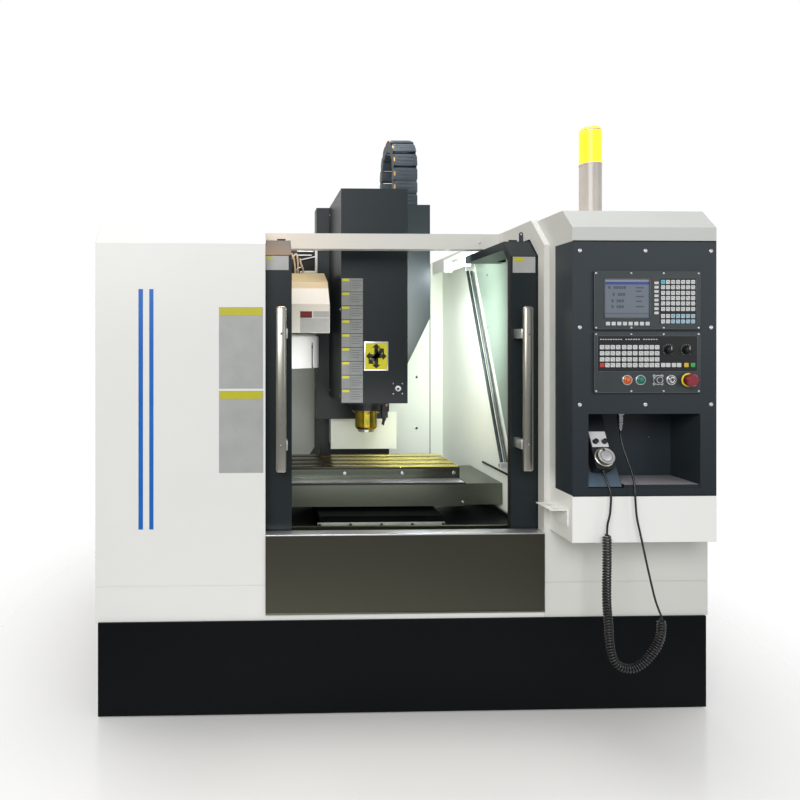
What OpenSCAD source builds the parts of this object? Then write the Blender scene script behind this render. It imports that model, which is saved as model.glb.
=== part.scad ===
// Small vertical machining centre: sheet metal guard with two sliding doors, a cross table,
// a spindle head on a column, a tool drum and a control pendant with a handwheel on a curly cord.
// Millimetres, +Z up, the front looks along -Y. The origin is on the floor, on the centre line,
// in the middle of the overall depth. Inside the modules, y counts back from the front sheet.

/* [Guard] */
// Overall width of the sheet guard
guard_w = 2100; // [2080:10:2200]
// Depth from the front sheet to the back sheet of the guard
guard_back = 1380; // [1370:5:1450]
// Height of the flat roof
roof_z = 1697; // [1685:1:1740]
// Size of the 45 degree chamfer between the front and the roof
chamfer = 102; // [80:1:110]
// Thickness of the guard sheets
sheet = 3; // [2:0.5:4]
// Width of the doorway between the two front panels
doorway_w = 956; // [930:2:980]
// Height of the doorway's sill
sill_z = 607; // [600:1:615]
// Depth of the folded returns beside the doorway
jamb_d = 46; // [36:1:48]
// Height of the seam between the upper and lower front sheets
seam_z = 435; // [380:1:480]
// Lower edge of the stainless front panel
front_panel_z = 340; // [330:1:380]
// Thickness of the stainless front panel
front_panel_t = 6; // [4:1:8]
// Distance of the top beam behind the front sheet
beam_y = 400; // [390:1:440]
// Height and depth of the top beam's section
beam_size = [50, 62];

/* [Plinth and bed] */
// Height of the dark plinth's top edge
plinth_z = 318; // [300:1:325]
// Distance of the plinth's sides inside the guard's sides
plinth_inset = 10; // [0:1:20]
// Gap between the plinth's lower edge and the floor
plinth_gap = 5; // [3:1:15]
// Diameter of a levelling pad
pad_d = 90; // [70:5:110]
// Diameter of a levelling screw
stud_d = 24; // [16:2:30]
// Width of the cast bed
bed_w = 520; // [500:10:560]
// Height of the bed's slideway face
bed_z = 470; // [462:1:474]

/* [Doors] */
// Thickness of a door frame
door_t = 30; // [22:1:32]
// Width of one door
door_w = 500; // [490:2:520]
// Height of a door's flat top
door_top_z = 1623; // [1610:1:1626]
// Distance between the centre line and each door's meeting edge when open
door_open = 385; // [360:1:400]
// Depth of a door's top panel, back from the front sheet
door_back = 531; // [500:1:538]
// Width of the upright frame member at the meeting edge
stile_w = 110; // [95:1:140]
// Lower and upper edge of the window
window_z = [760, 1480];
// Lower and upper end of a door handle
handle_z = [820, 1382];
// Width of a handle bar
handle_w = 35; // [28:1:40]
// Thickness of a handle bar
handle_t = 20; // [14:1:24]

/* [Work chamber] */
// Width between the chamber's side walls
chamber_w = 1070; // [1066:2:1090]
// Distance of the chamber's back wall behind the front sheet
chamber_back = 1350; // [1345:1:1365]

/* [Table and saddle] */
// Length of the work table
table_l = 754; // [720:2:758]
// Width of the work table
table_w = 330; // [300:2:340]
// Height of the table's working face
table_z = 722; // [715:1:726]
// Thickness of the table's edge
table_t = 50; // [44:1:52]
// Number of T slots
slot_count = 3; // [1:1:3]
// Distance between T slots
slot_pitch = 95; // [70:1:105]
// Width of a T slot's throat
slot_w = 14; // [12:1:18]
// Diameter of a ball screw
screw_d = 25; // [20:1:28]
// Width of a guide rail
rail_w = 23; // [18:1:26]
// Height of a guide rail
rail_h = 22; // [18:1:22]

/* [Column and head] */
// Distance of the column's front face behind the front sheet
column_y = 1060; // [1056:1:1070]
// Width of the column
column_w = 350; // [320:2:356]
// Height of the column's top
column_z = 1860; // [1850:1:1880]
// Distance of the spindle axis behind the front sheet
spindle_y = 747; // [740:1:752]
// Height of the spindle face
nose_z = 855; // [845:1:865]
// Width of the head cover
head_w = 284; // [270:2:288]
// Distance of the head cover's front behind the front sheet
head_y = 546; // [544:1:560]
// Lower and upper edge of the head cover
head_z = [1000, 1913];
// Width of the slide cover behind the head
slide_cover_w = 408; // [396:2:412]
// Height of the slide cover's lower edge
slide_cover_z = 887; // [870:1:900]
// Outer width of the cable wing's far edge from the centre line
wing_x = 328; // [315:1:340]

/* [Spindle] */
// Diameter of the spindle cartridge
cartridge_d = 100; // [90:1:110]
// Diameter of the cartridge's bolted flange
flange_d = 140; // [130:1:146]
// Diameter of the spindle shaft
shaft_d = 60; // [50:1:64]
// Diameter of the tool taper's mouth
taper_d = 31.75; // [25:0.25:32]
// Depth of the tool taper
taper_depth = 48.4; // [40:0.1:60]

/* [Tool drum] */
// Distance of the drum's axis left of the centre line
drum_x = 425; // [424:1:436]
// Radius of the drum
drum_r = 209; // [190:1:212]
// Number of tool pockets
pocket_count = 10; // [8:1:12]
// Lower and upper edge of the drum
drum_z = [1148, 1288];

/* [Cable chain] */
// Width of the cable chain
chain_w = 115; // [90:1:118]
// Height of a chain link
chain_h = 60; // [50:1:62]
// Distance between two link pins
chain_pitch = 64; // [60:1:70]
// Radius of the bend at the middle of the links
chain_r = 148; // [140:1:150]

/* [Pendant] */
// Left and right side of the pendant, from the centre line
pendant_x = [497, 966];
// Lower and upper edge of the dark pendant shell
pendant_z = [770, 1583];
// Distance of the pendant's face in front of the front sheet
pendant_d = 157; // [140:1:170]
// Lower edge of the pendant's light lower housing
tray_z = 620; // [600:1:650]
// Left and right side of the screen unit and operator panel
panel_x = [563, 908];
// Lower and upper edge of the screen unit
unit_z = [1301, 1486];
// Lower and upper edge of the operator panel
operator_z = [1098, 1291];
// Thickness of both panels in front of the pendant's face
panel_t = 8; // [5:1:12]
// Height of the row of push buttons
button_z = 1140; // [1125:1:1150]
// Diameter of a push button's cap
button_d = 24; // [20:0.5:26]
// Diameter of the emergency stop's mushroom
estop_d = 40; // [36:1:46]
// Distance of the emergency stop's face in front of the operator panel
estop_proud = 31; // [26:1:36]
// Lower and upper edge of the handwheel niche
niche_z = [794, 1031];
// Left and right side of the handwheel niche
niche_x = [549, 913];

/* [Signal light] */
// Diameter of the signal light
light_d = 77; // [60:1:90]
// Height of the signal light's plain body
light_body_h = 215; // [150:1:240]
// Height of the signal light's amber lens
light_lens_h = 126; // [80:1:150]

/* [Electrical cabinet] */
// Width of the cabinet
cabinet_w = 1000; // [960:10:1060]
// Depth of the cabinet with its door
cabinet_d = 220; // [180:5:260]
// Lower and upper edge of the cabinet
cabinet_z = [420, 1660];

/* [Hidden] */
$fn = 48;

// Running gaps, fits and small overlaps that keep cuts clean
gap = 0.3;
fit = 0.05;
eps = 1;
bevel = tan(22.5);

front_reach = pendant_d + panel_t + estop_proud;
overall_d = guard_back + cabinet_d + front_reach;
front_y = front_reach - overall_d / 2;

half_door = doorway_w / 2;
half_guard = guard_w / 2;
plinth_front = -7;
plinth_back = guard_back - 20;
flange_w = 30;

door_y = jamb_d + 7;
door_z = sill_z - 11;
door_chamfer = 60;
channel_y = [door_y - 3, door_y + door_t + 8];
channel_z = sill_z - 16;
track_half = door_open + door_w + 12;

// Heights that stack up from the bed to the table
saddle_z = bed_z + 42;
saddle_top = saddle_z + 88;
x_rail_top = saddle_top + rail_h;
table_base_z = table_z - table_t - 32;
table_under = table_z - table_t;
table_y = spindle_y + 1;
table_front = table_y - table_w / 2;
saddle_half = 250;
slide_half = 345;
slide_deep = 145;
x_travel = 150;
y_travel = 130;
z_up = 290;
z_down = 60;
y_rail_x = 170;
x_rail_y = 105;
z_rail_x = 120;
x_screw_z = saddle_top - 12;
y_screw_z = bed_z - 35;
z_screw_y = column_y + 35;

cover_front = table_front - 84;
cover_back = table_front + table_w - 9;
cover_half = table_l / 2 - 5;
cover_low = table_under - 98;

slide_y = column_y - 110;
casting_low = head_z[0] - 23;
casting_top = 1500;
cartridge_top = casting_top - 200;
casting_half = 120;
carriage_z = [1020, 1470];
cartridge_low = nose_z + 11;
flange_low = casting_low - 24;

chain_x = column_w / 2 + 8;
chain_near_y = column_y - 81;
chain_mid_y = chain_near_y + chain_h / 2 + chain_r;
chain_bend_z = 2121;
near_links = 13;
bend_links = round(PI * chain_r / chain_pitch);
far_links = 10;
chain_low = chain_bend_z - near_links * chain_pitch;
far_low = chain_bend_z - far_links * chain_pitch;

housing_x = [-650, -193];
housing_y = [525, slide_y - 6];
housing_z = [1299, 1572];
arm_z = [1400, 1480];

shell_y = -pendant_d;
frame_d = 42;
panel_y = shell_y - panel_t;
niche_back = -7;
cap_fascia = 45;

dial_x = [803, 862];
dial_z = 1236;
dial_d = 24;
button_x = [668, 711];
socket_x = 769;
key_x = 811;
estop_x = 865;
estop_collar_d = estop_d + 8;

// The handwheel box lies on a sloping sheet in the niche, its top leaning back
wheel_lean = 29;
holder_right = 662;
holder_foot = [shell_y + 6, niche_z[0] + 2];
wheel_x = 602.5;
wheel_up = 112;
wheel_box = [62, 44, 130];
wheel_d = 54;
knob_x = 15;

light_x = 719;
light_y = 150;

lamp_x = 430;
lamp_y = [657, 921];
lamp_z = 1617;

// Route of the handwheel's cord: straight lead, curly part, straight lead to the socket
cord_d = 6.5;
curl_d = 28;
lead_in = [[602.5, -151.4, 840.8], [603.3, -155.2, 834], [604.5, -162, 822], [606, -169.5, 808], [607.3, -176.5, 793],
           [608, -181, 777], [607.7, -182, 760], [604.5, -182, 718], [597, -182, 685], [595, -182, 655]];
curl = [[595, -182, 655], [595, -182, 600], [595, -182, 552], [594, -182, 504], [594, -182, 452],
        [596, -182, 412], [600, -182, 371], [602, -182, 331], [607, -182, 290], [618, -182, 255],
        [642, -182, 235], [674, -182, 230], [706, -182, 244], [732, -182, 269], [755, -182, 300],
        [768, -182, 337], [770, -182, 385]];
lead_out = [[770, -182, 385], [769, -182, 395], [761, -182, 415], [750, -182, 446], [738, -182, 494],
            [723, -182, 559], [707, -182, 632], [699, -182, 668], [690, -182, 713], [686, -181, 775],
            [690, -171, 806], [692, -154, 842], [689, -134, 880], [684, -116, 922], [682, -106, 958],
            [682, -106, 972]];
plug_z = [972, niche_z[1]];

WHITE = "#e4e5e2";
CREAM = "#e9e4d6";
CHARCOAL = "#2f353b";
NAVY = "#20262c";
STEEL = "#8f9294";
BRUSHED = "#55554c";
CAST = "#3a4046";
GLASS = "#9fb7c4";
BLACK = "#17191b";

// Places a piece in the machine: y = 0 is the outer face of the front sheet
module in_machine(shade) color(shade) translate([0, front_y, 0]) children();

// A block between two corners, given as a pair of limits along each axis
module span(x, y, z) translate([x[0], y[0], z[0]]) cube([x[1] - x[0], y[1] - y[0], z[1] - z[0]]);

// An outline of [y, z] points carried along X, and one of [x, z] points carried along Y
module along_x(x, outline)
    translate([x[0], 0, 0]) rotate([90, 0, 90]) linear_extrude(x[1] - x[0]) polygon(outline);
module along_y(y, outline)
    translate([0, y[1], 0]) rotate([90, 0, 0]) linear_extrude(y[1] - y[0]) polygon(outline);

// Round bars along each axis
module bar_x(x, y, z, d) translate([x[0], y, z]) rotate([0, 90, 0]) cylinder(d = d, h = x[1] - x[0]);
module bar_y(x, y, z, d) translate([x, y[1], z]) rotate([90, 0, 0]) cylinder(d = d, h = y[1] - y[0]);
module bar_z(x, y, z, d) translate([x, y, z[0]]) cylinder(d = d, h = z[1] - z[0]);

// A plate with round corners, thick along Z
module round_plate(w, h, r, t) {
    linear_extrude(t) {
        square([w - 2 * r, h], center = true);
        square([w, h - 2 * r], center = true);
        for (x = [-1, 1], y = [-1, 1]) translate([x * (w / 2 - r), y * (h / 2 - r)]) circle(r);
    }
}

module both_sides() {
    children();
    mirror([1, 0, 0]) children();
}

// Guard outline, moved inwards by t, from height low up to the roof
function guard_outline(t, low, back) = [
    [t, low],
    [t, roof_z - chamfer - bevel * t],
    [chamfer + bevel * t, roof_z - t],
    [back - t, roof_z - t],
    [back - t, low]];

// Front, chamfer, roof, back and outer side sheet of one guard half, on the right
module guard_half() {
    difference() {
        along_x([half_door, half_guard], guard_outline(0, plinth_z, guard_back));
        along_x([half_door - eps, half_guard - sheet], guard_outline(sheet, plinth_z - eps, guard_back));
        seam_groove();
    }
    jamb_return();
}

// Folded return that lines the doorway and the roof's inner edge, as far as the chamber's back wall
module jamb_return() {
    low = door_top_z + 8;
    slope = door_top_z - door_chamfer;
    difference() {
        along_x([half_door, half_door + sheet], guard_outline(sheet / 2, plinth_z, chamber_back - gap + sheet / 2));
        along_x([half_door - eps, half_door + sheet + eps], [
            [jamb_d, plinth_z - eps], [jamb_d, slope], [jamb_d + low - slope, low],
            [guard_back + jamb_d, low], [guard_back + jamb_d, plinth_z - eps]]);
    }
}

module seam_groove() {
    groove = sheet / 2;
    difference() {
        span([half_door - eps, half_guard + eps], [-eps, guard_back + eps], [seam_z, seam_z + 3]);
        span([half_door - 2 * eps, half_guard - groove], [groove, guard_back - groove],
             [seam_z - eps, seam_z + 4]);
    }
}

module left_guard() in_machine(WHITE) {
    mirror([1, 0, 0]) guard_half();
    // Lower front sheet below the doorway, behind the stainless panel, and the back sheet
    span([-half_door - eps, half_door], [0, sheet], [plinth_z, sill_z - sheet]);
    span([-half_door - eps, half_door], [guard_back - sheet, guard_back], [plinth_z, roof_z]);
    // Raised box welded on the roof
    along_y(roof_box_y, [[roof_box_x[0] - 4, roof_z - eps], [roof_box_x[1] + 4, roof_z - eps],
        [roof_box_x[1], roof_z + roof_box_h], [roof_box_x[0], roof_z + roof_box_h]]);
}

module right_guard() in_machine(WHITE) guard_half();

module base_plinth() in_machine(NAVY) difference() {
    half = half_guard - plinth_inset;
    span([-half, half], [plinth_front, plinth_back], [plinth_gap, plinth_z]);
    span([-half + sheet, half - sheet], [plinth_front + sheet, plinth_back - sheet],
         [plinth_gap - eps, plinth_z - sheet]);
    span([-half + flange_w, half - flange_w], [plinth_front + flange_w, plinth_back - flange_w],
         [plinth_z - sheet - eps, plinth_z + eps]);
}

roof_box_x = [-894, -509];
roof_box_y = [299, 699];
roof_box_h = 73;

foot_x = bed_w / 2 + 50;
foot_y = [400, 850, 1280];
lug_z = [60, 110];
bed_y = [330, plinth_back - flange_w];

module levelling_feet() in_machine(STEEL) for (x = [-foot_x, foot_x], y = foot_y) {
    bar_z(x, y, [0, 18], pad_d);
    bar_z(x, y, [0, lug_z[1] + 60], stud_d);
    bar_z(x, y, [lug_z[0] - 20, lug_z[0]], stud_d * 1.7, $fn = 6);
    bar_z(x, y, [lug_z[1], lug_z[1] + 20], stud_d * 1.7, $fn = 6);
}

module bed() in_machine(CAST) difference() {
    union() {
        span([-bed_w / 2, bed_w / 2], bed_y, [lug_z[0], bed_z]);
        span([-bed_w / 2, bed_w / 2], [column_y - 10, column_back], [bed_z - eps, bed_z + 90]);
        for (y = foot_y) span([-foot_x - 50, foot_x + 50], [y - 50, y + 50], lug_z);
    }
    // Cored pockets under the slideways, and the trough of the ball screw
    for (side = [-1, 1], y = [370, 640, 910])
        span([side * 130 - 90, side * 130 + 90], [y, y + 220], [lug_z[0] - eps, bed_z - 110]);
    span([-45, 45], [bed_y[0] + 15, column_y - 14], [y_screw_z - 40, bed_z + eps]);
    bar_y(0, [bed_y[0] - eps, column_y], y_screw_z, screw_d + 2 * gap);
    for (x = [-foot_x, foot_x], y = foot_y) bar_z(x, y, [lug_z[0] - eps, lug_z[1] + eps], stud_d + 2 * gap);
}

column_low = bed_z + 90;
column_back = min(column_y + 268, chamber_back - 20);
trough_half = 50;

module column() in_machine(CAST) {
    difference() {
        along_y([column_y, column_back], [
            [-column_w / 2 - 55, column_low], [column_w / 2 + 55, column_low],
            [column_w / 2 + 55, column_low + 50], [column_w / 2, column_low + 130],
            [column_w / 2, column_z], [-column_w / 2, column_z],
            [-column_w / 2, column_low + 130], [-column_w / 2 - 55, column_low + 50]]);
        span([-trough_half, trough_half], [column_y - eps, column_y + 75], [880, column_z - 20]);
        bar_z(0, z_screw_y, [880 - eps, column_z + eps], screw_d + 2 * gap);
        span([-column_w / 2 + 40, column_w / 2 - 40], [column_y + 110, column_back + eps], [700, column_z - 60]);
    }
    // Bracket that holds the still end of the cable chain
    span([column_w / 2, chain_x + chain_w], [chain_mid_y + chain_r - chain_h / 2, chain_mid_y + chain_r + chain_h / 2],
         [far_low - 8, far_low - gap]);
}

module guide_rails() in_machine(STEEL) both_sides() {
    span([y_rail_x - rail_w / 2, y_rail_x + rail_w / 2], [bed_y[0] + 20, column_y - 12], [bed_z, bed_z + rail_h]);
    span([z_rail_x - rail_w / 2, z_rail_x + rail_w / 2], [column_y - rail_h, column_y], [760, column_z - 10]);
}

motor_w = 110;

module square_motor(h) {
    translate([0, 0, h / 2]) cube([motor_w, motor_w, h], center = true);
    translate([0, 0, h - eps]) cylinder(d = motor_w * 0.8, h = 20);
}

module axis_motors() in_machine(BLACK) {
    translate([0, bed_y[0], y_screw_z]) rotate([90, 0, 0]) square_motor(120);
    translate([0, z_screw_y, column_z]) square_motor(120);
}

// Side walls, back wall, front wall and sloping pan of the work chamber, each a sheet of its own
module chamber() in_machine(CREAM) {
    half = chamber_w / 2;
    wall_top = roof_z - sheet;
    front_top = door_top_z - door_t - 18;
    low = saddle_z - 12;
    rise = 30;
    front = channel_y[1] + 12 + gap;
    inner = bed_w / 2 + 4;
    side = [[front, low], [front, front_top - 30], [front + 30, front_top], [door_back + 9, front_top],
            [door_back + 9, wall_top], [chamber_back + sheet, wall_top], [chamber_back + sheet, low]];
    along_x([half, half + sheet], side);
    difference() {
        along_x([-half - sheet, -half], side);
        span([-half - sheet - eps, -half + eps], [housing_y[0] - 15, housing_y[1] + 46], [drum_z[0] - 60, wall_top + eps]);
    }
    span([-half + fit, half - fit], [chamber_back, chamber_back + sheet], [low, wall_top]);
    span([-half + fit, half - fit], [front, front + sheet], [low - sheet, sill_z - 1]);
    both_sides() along_y([front + sheet + fit, chamber_back - fit],
        [[inner, low], [half - fit, low + rise], [half - fit, low + rise - sheet], [inner, low - sheet]]);
    span([-inner + fit, inner - fit], [front + sheet + fit, bed_y[0]], [low - sheet, low]);
    // Fixed cover low on the column, behind the table
    span([-130, z_rail_x + 75], [column_y - 75, column_y - 75 + sheet], [table_z + 13, slide_cover_z + 30]);
    both_sides() span([118, 118 + sheet], [column_y - 75, column_y - gap], [table_z + 13, table_z + 33]);
}

// Stainless front panel folded back into the sill, with the doors' bottom channel
module front_panel() in_machine(BRUSHED) {
    t = sheet;
    along_x([-half_door, half_door], [
        [-front_panel_t, front_panel_z], [-front_panel_t, sill_z], [channel_y[0], sill_z],
        [channel_y[0], sill_z - t], [0, sill_z - t], [0, front_panel_z]]);
    along_x([-track_half, track_half], [
        [channel_y[0] - t, sill_z - eps], [channel_y[0], sill_z - eps], [channel_y[0], channel_z],
        [channel_y[1], channel_z], [channel_y[1], sill_z], [channel_y[1] + 12, sill_z],
        [channel_y[1] + 12, sill_z - t], [channel_y[1] + t, sill_z - t], [channel_y[1] + t, channel_z - t],
        [channel_y[0] - t, channel_z - t]]);
}

module top_beam() in_machine(WHITE) difference() {
    z = [roof_z - beam_size[1], roof_z];
    span([-half_door, half_door], [beam_y, beam_y + beam_size[0]], z);
    span([-half_door - eps, half_door + eps], [beam_y + sheet, beam_y + beam_size[0] - sheet], [z[0] + sheet, z[1] - sheet]);
}

// One sliding door, on the right: upright, chamfered and flat top part in one bent frame
window_x = [door_open + stile_w, door_open + door_w - 70];

module door_frame() {
    top = door_top_z;
    difference() {
        union() {
            along_x([door_open, door_open + door_w], [
                [door_y, door_z], [door_y, top - door_chamfer], [door_y + door_chamfer, top], [door_back, top],
                [door_back, top - door_t], [door_y + door_chamfer + bevel * door_t, top - door_t],
                [door_y + door_t, top - door_chamfer - bevel * door_t], [door_y + door_t, door_z]]);
            // Glide shoes that run in the bottom channel
            for (x = [door_open + 60, door_open + door_w - 60])
                span([x - 30, x + 30], [door_y + 4, door_y + door_t - 4], [channel_z + gap, door_z + eps]);
        }
        span(window_x, [door_y - eps, door_y + door_t + eps], window_z);
        // Light opening in the top part
        span([window_x[0], window_x[1]], [door_y + 130, door_back - 60], [top - door_t - eps, top + eps]);
    }
    // Finger lug on the chamfer
    span([door_open + 18, door_open + 48], [door_y + door_chamfer + 4, door_y + door_chamfer + 7], [top - eps, top + 6]);
}

module door_window() {
    span(window_x, [door_y + door_t / 2 - 4, door_y + door_t / 2 + 4], window_z);
    span(window_x, [door_y + 130, door_back - 60], [door_top_z - door_t / 2 - 3, door_top_z - door_t / 2 + 3]);
}

module door_handle(inset) {
    bar_front = door_y - 75;
    x = door_open + inset;
    span([x, x + handle_w], [bar_front, bar_front + handle_t], handle_z);
    for (z = [handle_z[0] + 75, handle_z[1] - 109])
        span([x - 5, x + 12], [bar_front + 2, door_y], [z, z + 33]);
}

module left_door() in_machine(CHARCOAL) mirror([1, 0, 0]) door_frame();
module right_door() in_machine(CHARCOAL) door_frame();
module left_window() in_machine(GLASS) mirror([1, 0, 0]) door_window();
module right_window() in_machine(GLASS) door_window();
module left_handle() in_machine(STEEL) mirror([1, 0, 0]) door_handle(23);
module right_handle() in_machine(STEEL) door_handle(14);

// Dark front shell of the pendant, with the handwheel niche and its slanted holder
module pendant_shell() in_machine(CHARCOAL) {
    difference() {
        span(pendant_x, [shell_y, -frame_d], pendant_z);
        span([pendant_x[0] + sheet, pendant_x[1] - sheet], [shell_y + sheet, -frame_d + eps],
             [pendant_z[0] + sheet, pendant_z[1] - sheet]);
        for (z = [unit_z, operator_z])
            span([panel_x[0] + 8, panel_x[1] - 8], [shell_y - eps, shell_y + sheet + eps], [z[0] + 8, z[1] - 8]);
        span(niche_x, [shell_y - eps, niche_back], niche_z);
    }
    difference() {
        span([niche_x[0] - 2, niche_x[1] + 2], [shell_y + eps, niche_back], [niche_z[0] - 2, niche_z[1] + 2]);
        span(niche_x, [shell_y, niche_back - 2], niche_z);
    }
    // Sloping sheet that holds the handwheel box, and the shelf beside it
    rise = niche_z[1] - holder_foot[1] + eps;
    run = rise * tan(wheel_lean);
    along_x([niche_x[0] - 1, holder_right], [
        holder_foot, [holder_foot[0] + run, holder_foot[1] + rise],
        [holder_foot[0] + run + sheet, holder_foot[1] + rise], [holder_foot[0] + sheet, holder_foot[1]]]);
    difference() {
        span([holder_right + 4, niche_x[1] + eps], [shell_y + sheet - fit, niche_back - 1], [niche_z[0] - 1, niche_z[0] + 10]);
        span([holder_right + 3, niche_x[1]], [shell_y + sheet + 2, niche_back - 2], [niche_z[0] - 2, niche_z[0] + 7]);
    }
}

// Light housing round the pendant: back frame, chamfered cap, lower housing and hook bracket
module pendant_frame() in_machine(WHITE) {
    x = pendant_x;
    cap_top = roof_z - 4;
    difference() {
        span(x, [-frame_d, 0], pendant_z);
        span([x[0] + sheet, x[1] - sheet], [-frame_d - eps, eps], [pendant_z[0] - eps, pendant_z[1] + eps]);
    }
    along_x(x, [
        [shell_y, pendant_z[1]], [shell_y, pendant_z[1] + cap_fascia],
        [shell_y + cap_top - pendant_z[1] - cap_fascia, cap_top], [chamfer - 4, cap_top],
        [0, roof_z - chamfer], [0, pendant_z[1]]]);
    difference() {
        span(x, [shell_y, 0], [tray_z, pendant_z[0]]);
        span([x[0] + sheet, x[1] - sheet], [shell_y + sheet, eps], [tray_z + sheet, pendant_z[0] - sheet]);
    }
    difference() {
        union() {
            span([x[0] - 58, x[0]], [shell_y + 27, -25], [tray_z + 96, tray_z + 99]);
            span([x[0] - sheet, x[0]], [shell_y + 27, -25], [tray_z + 46, tray_z + 98]);
        }
        for (y = [-112, -62]) bar_z(x[0] - 32, y, [tray_z + 90, tray_z + 110], 22);
    }
}

screen_x = [panel_x[0] + 35, panel_x[0] + 179];
screen_z = [unit_z[0] + 38, unit_z[0] + 160];

module cnc_unit() in_machine(BLACK) difference() {
    union() {
        span(panel_x, [panel_y, shell_y], unit_z);
        span([panel_x[0] + 9, panel_x[1] - 9], [shell_y - eps, shell_y + 70], [unit_z[0] + 9, unit_z[1] - 9]);
    }
    span(screen_x, [panel_y - eps, panel_y + 4], screen_z);
}

module display_screen() in_machine(GLASS) span(screen_x, [panel_y + 1.5, panel_y + 4], screen_z);

// One raised key
key_h = 1.5;

module key(x, z, w, h) span([x - w / 2, x + w / 2], [panel_y - key_h, panel_y], [z - h / 2, z + h / 2]);

module key_sheets() in_machine(CREAM) {
    u = panel_x[0];
    low = unit_z[0];
    base = operator_z[0];
    for (i = [0:6], j = [0:7]) key(u + 222 + 16.2 * i, low + 25 + 17.9 * j, 12, 12);
    for (i = [0:7]) {
        key(u + 44 + 18.3 * i, low + 19, 14, 11);
        key(u + 201, low + 52 + 13.7 * i, 12, 10);
    }
    for (x = [25, 42, 59, 76, 96, 114, 132, 151, 168, 186, 203], j = [0:3]) key(u + x, base + 88 + 19.4 * j, 13, 14);
    for (x = [223, 240, 257, 274, 298, 319]) key(u + x, base + 88, 13, 14);
    for (i = [0:11]) key(u + 25 + 16.2 * i, base + 171, 11, 8);
}

// Round bezel of one push button, with the button's bore left open
module bezel(x, d, bore) difference() {
    bar_y(x, [panel_y - 4, panel_y + eps], button_z, d);
    bar_y(x, [panel_y - 4 - eps, panel_y + 2 * eps], button_z, bore);
}

module operator_panel() in_machine(CHARCOAL) {
    difference() {
        union() {
            span(panel_x, [panel_y, shell_y], operator_z);
            span([panel_x[0] + 9, panel_x[1] - 9], [shell_y - eps, shell_y + 50], [operator_z[0] + 70, operator_z[1] - 9]);
        }
        for (x = [button_x[0], button_x[1], key_x])
            bar_y(x, [panel_y - eps, shell_y + eps], button_z, button_d + 2 * gap);
        bar_y(estop_x, [panel_y - eps, shell_y + eps], button_z, button_d + 2 * gap);
        for (x = dial_x) bar_y(x, [panel_y - eps, panel_y + 6], dial_z, 8 + 2 * gap);
    }
    for (x = [button_x[0], button_x[1], key_x]) bezel(x, button_d + 7, button_d + 2 * gap);
    bezel(estop_x, estop_collar_d, button_d + 2 * gap);
    // Capped data socket
    bar_y(socket_x, [panel_y - 9, panel_y + eps], button_z, 26);
}

module push_button(x) {
    bar_y(x, [panel_y - 9, shell_y + 22], button_z, button_d);
}

module orange_button() in_machine("#f06a1c") push_button(button_x[0]);
module green_button() in_machine("#168a5c") push_button(button_x[1]);

module key_switch() in_machine(STEEL) difference() {
    bar_y(key_x, [panel_y - 8, shell_y + 22], button_z, button_d);
    span([key_x - 2, key_x + 2], [panel_y - 8 - eps, panel_y - 3], [button_z - 7, button_z + 7]);
}

module estop_button() in_machine("#c2242c") translate([estop_x, panel_y, button_z]) rotate([90, 0, 0])
    rotate_extrude() polygon([
        [0, -22 - panel_t], [button_d / 2, -22 - panel_t], [button_d / 2, estop_proud - 16],
        [estop_d / 2, estop_proud - 13], [estop_d / 2, estop_proud - 4], [estop_d / 2 - 4, estop_proud],
        [0, estop_proud]]);

module dial(x) {
    bar_y(x, [panel_y - 14, panel_y - gap], dial_z, dial_d);
    bar_y(x, [panel_y - 1, panel_y + 5], dial_z, 8);
    span([x - 2, x + 2], [panel_y - 17, panel_y - 13], [dial_z - dial_d / 2 + 1, dial_z + dial_d / 2 - 1]);
}

module feed_dial() in_machine(BLACK) dial(dial_x[0]);
module speed_dial() in_machine(BLACK) dial(dial_x[1]);

module panel_screws() in_machine(STEEL) {
    for (x = [pendant_x[0] + 23, (pendant_x[0] + pendant_x[1]) / 2, pendant_x[1] - 20],
         z = [pendant_z[1] - 30, unit_z[0] + 6, niche_z[1] + 30])
        if (x < panel_x[0] || x > panel_x[1] || z > unit_z[1] || z < operator_z[0])
            bar_y(x, [shell_y - 4, shell_y], z, 11);
    for (x = [panel_x[0] + 7, panel_x[1] - 7], z = [unit_z[0] + 6, (unit_z[0] + unit_z[1]) / 2, unit_z[1] - 6,
         operator_z[0] + 6, operator_z[1] - 6]) bar_y(x, [panel_y - 2, panel_y], z, 5);
    for (x = [panel_x[0] + 120, panel_x[1] - 120], z = [unit_z[0] + 6, unit_z[1] - 6, operator_z[0] + 6])
        bar_y(x, [panel_y - 2, panel_y], z, 5);
    bar_y(half_door - 79, [beam_y - 4, beam_y], roof_z - 36, 9);
}

// Moves a piece into the handwheel box's own tilted frame
module at_wheel_box()
    translate([wheel_x, holder_foot[0], holder_foot[1]]) rotate([-wheel_lean, 0, 0])
        translate([0, -wheel_box[1] / 2 - fit, wheel_up]) children();

wheel_face = -wheel_box[1] / 2;
wheel_drop = 29;
knob_rise = 25;

module handwheel_box() in_machine(BLACK) at_wheel_box() difference() {
    union() {
        translate([0, wheel_box[1] / 2, 0]) rotate([90, 0, 0]) round_plate(wheel_box[0], wheel_box[2], 9, wheel_box[1]);
        bar_y(0, [wheel_face - 4, wheel_face + eps], -wheel_drop, wheel_d + 8);
        bar_z(0, 0, [-wheel_box[2] / 2 - 8, -wheel_box[2] / 2 + eps], 16);
    }
    bar_y(0, [wheel_face - 4 - eps, wheel_face + 14], -wheel_drop, 10 + 2 * gap);
    for (x = [-knob_x, knob_x]) bar_y(x, [wheel_face - eps, wheel_face + 8], knob_rise, 6 + 2 * gap);
}

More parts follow.
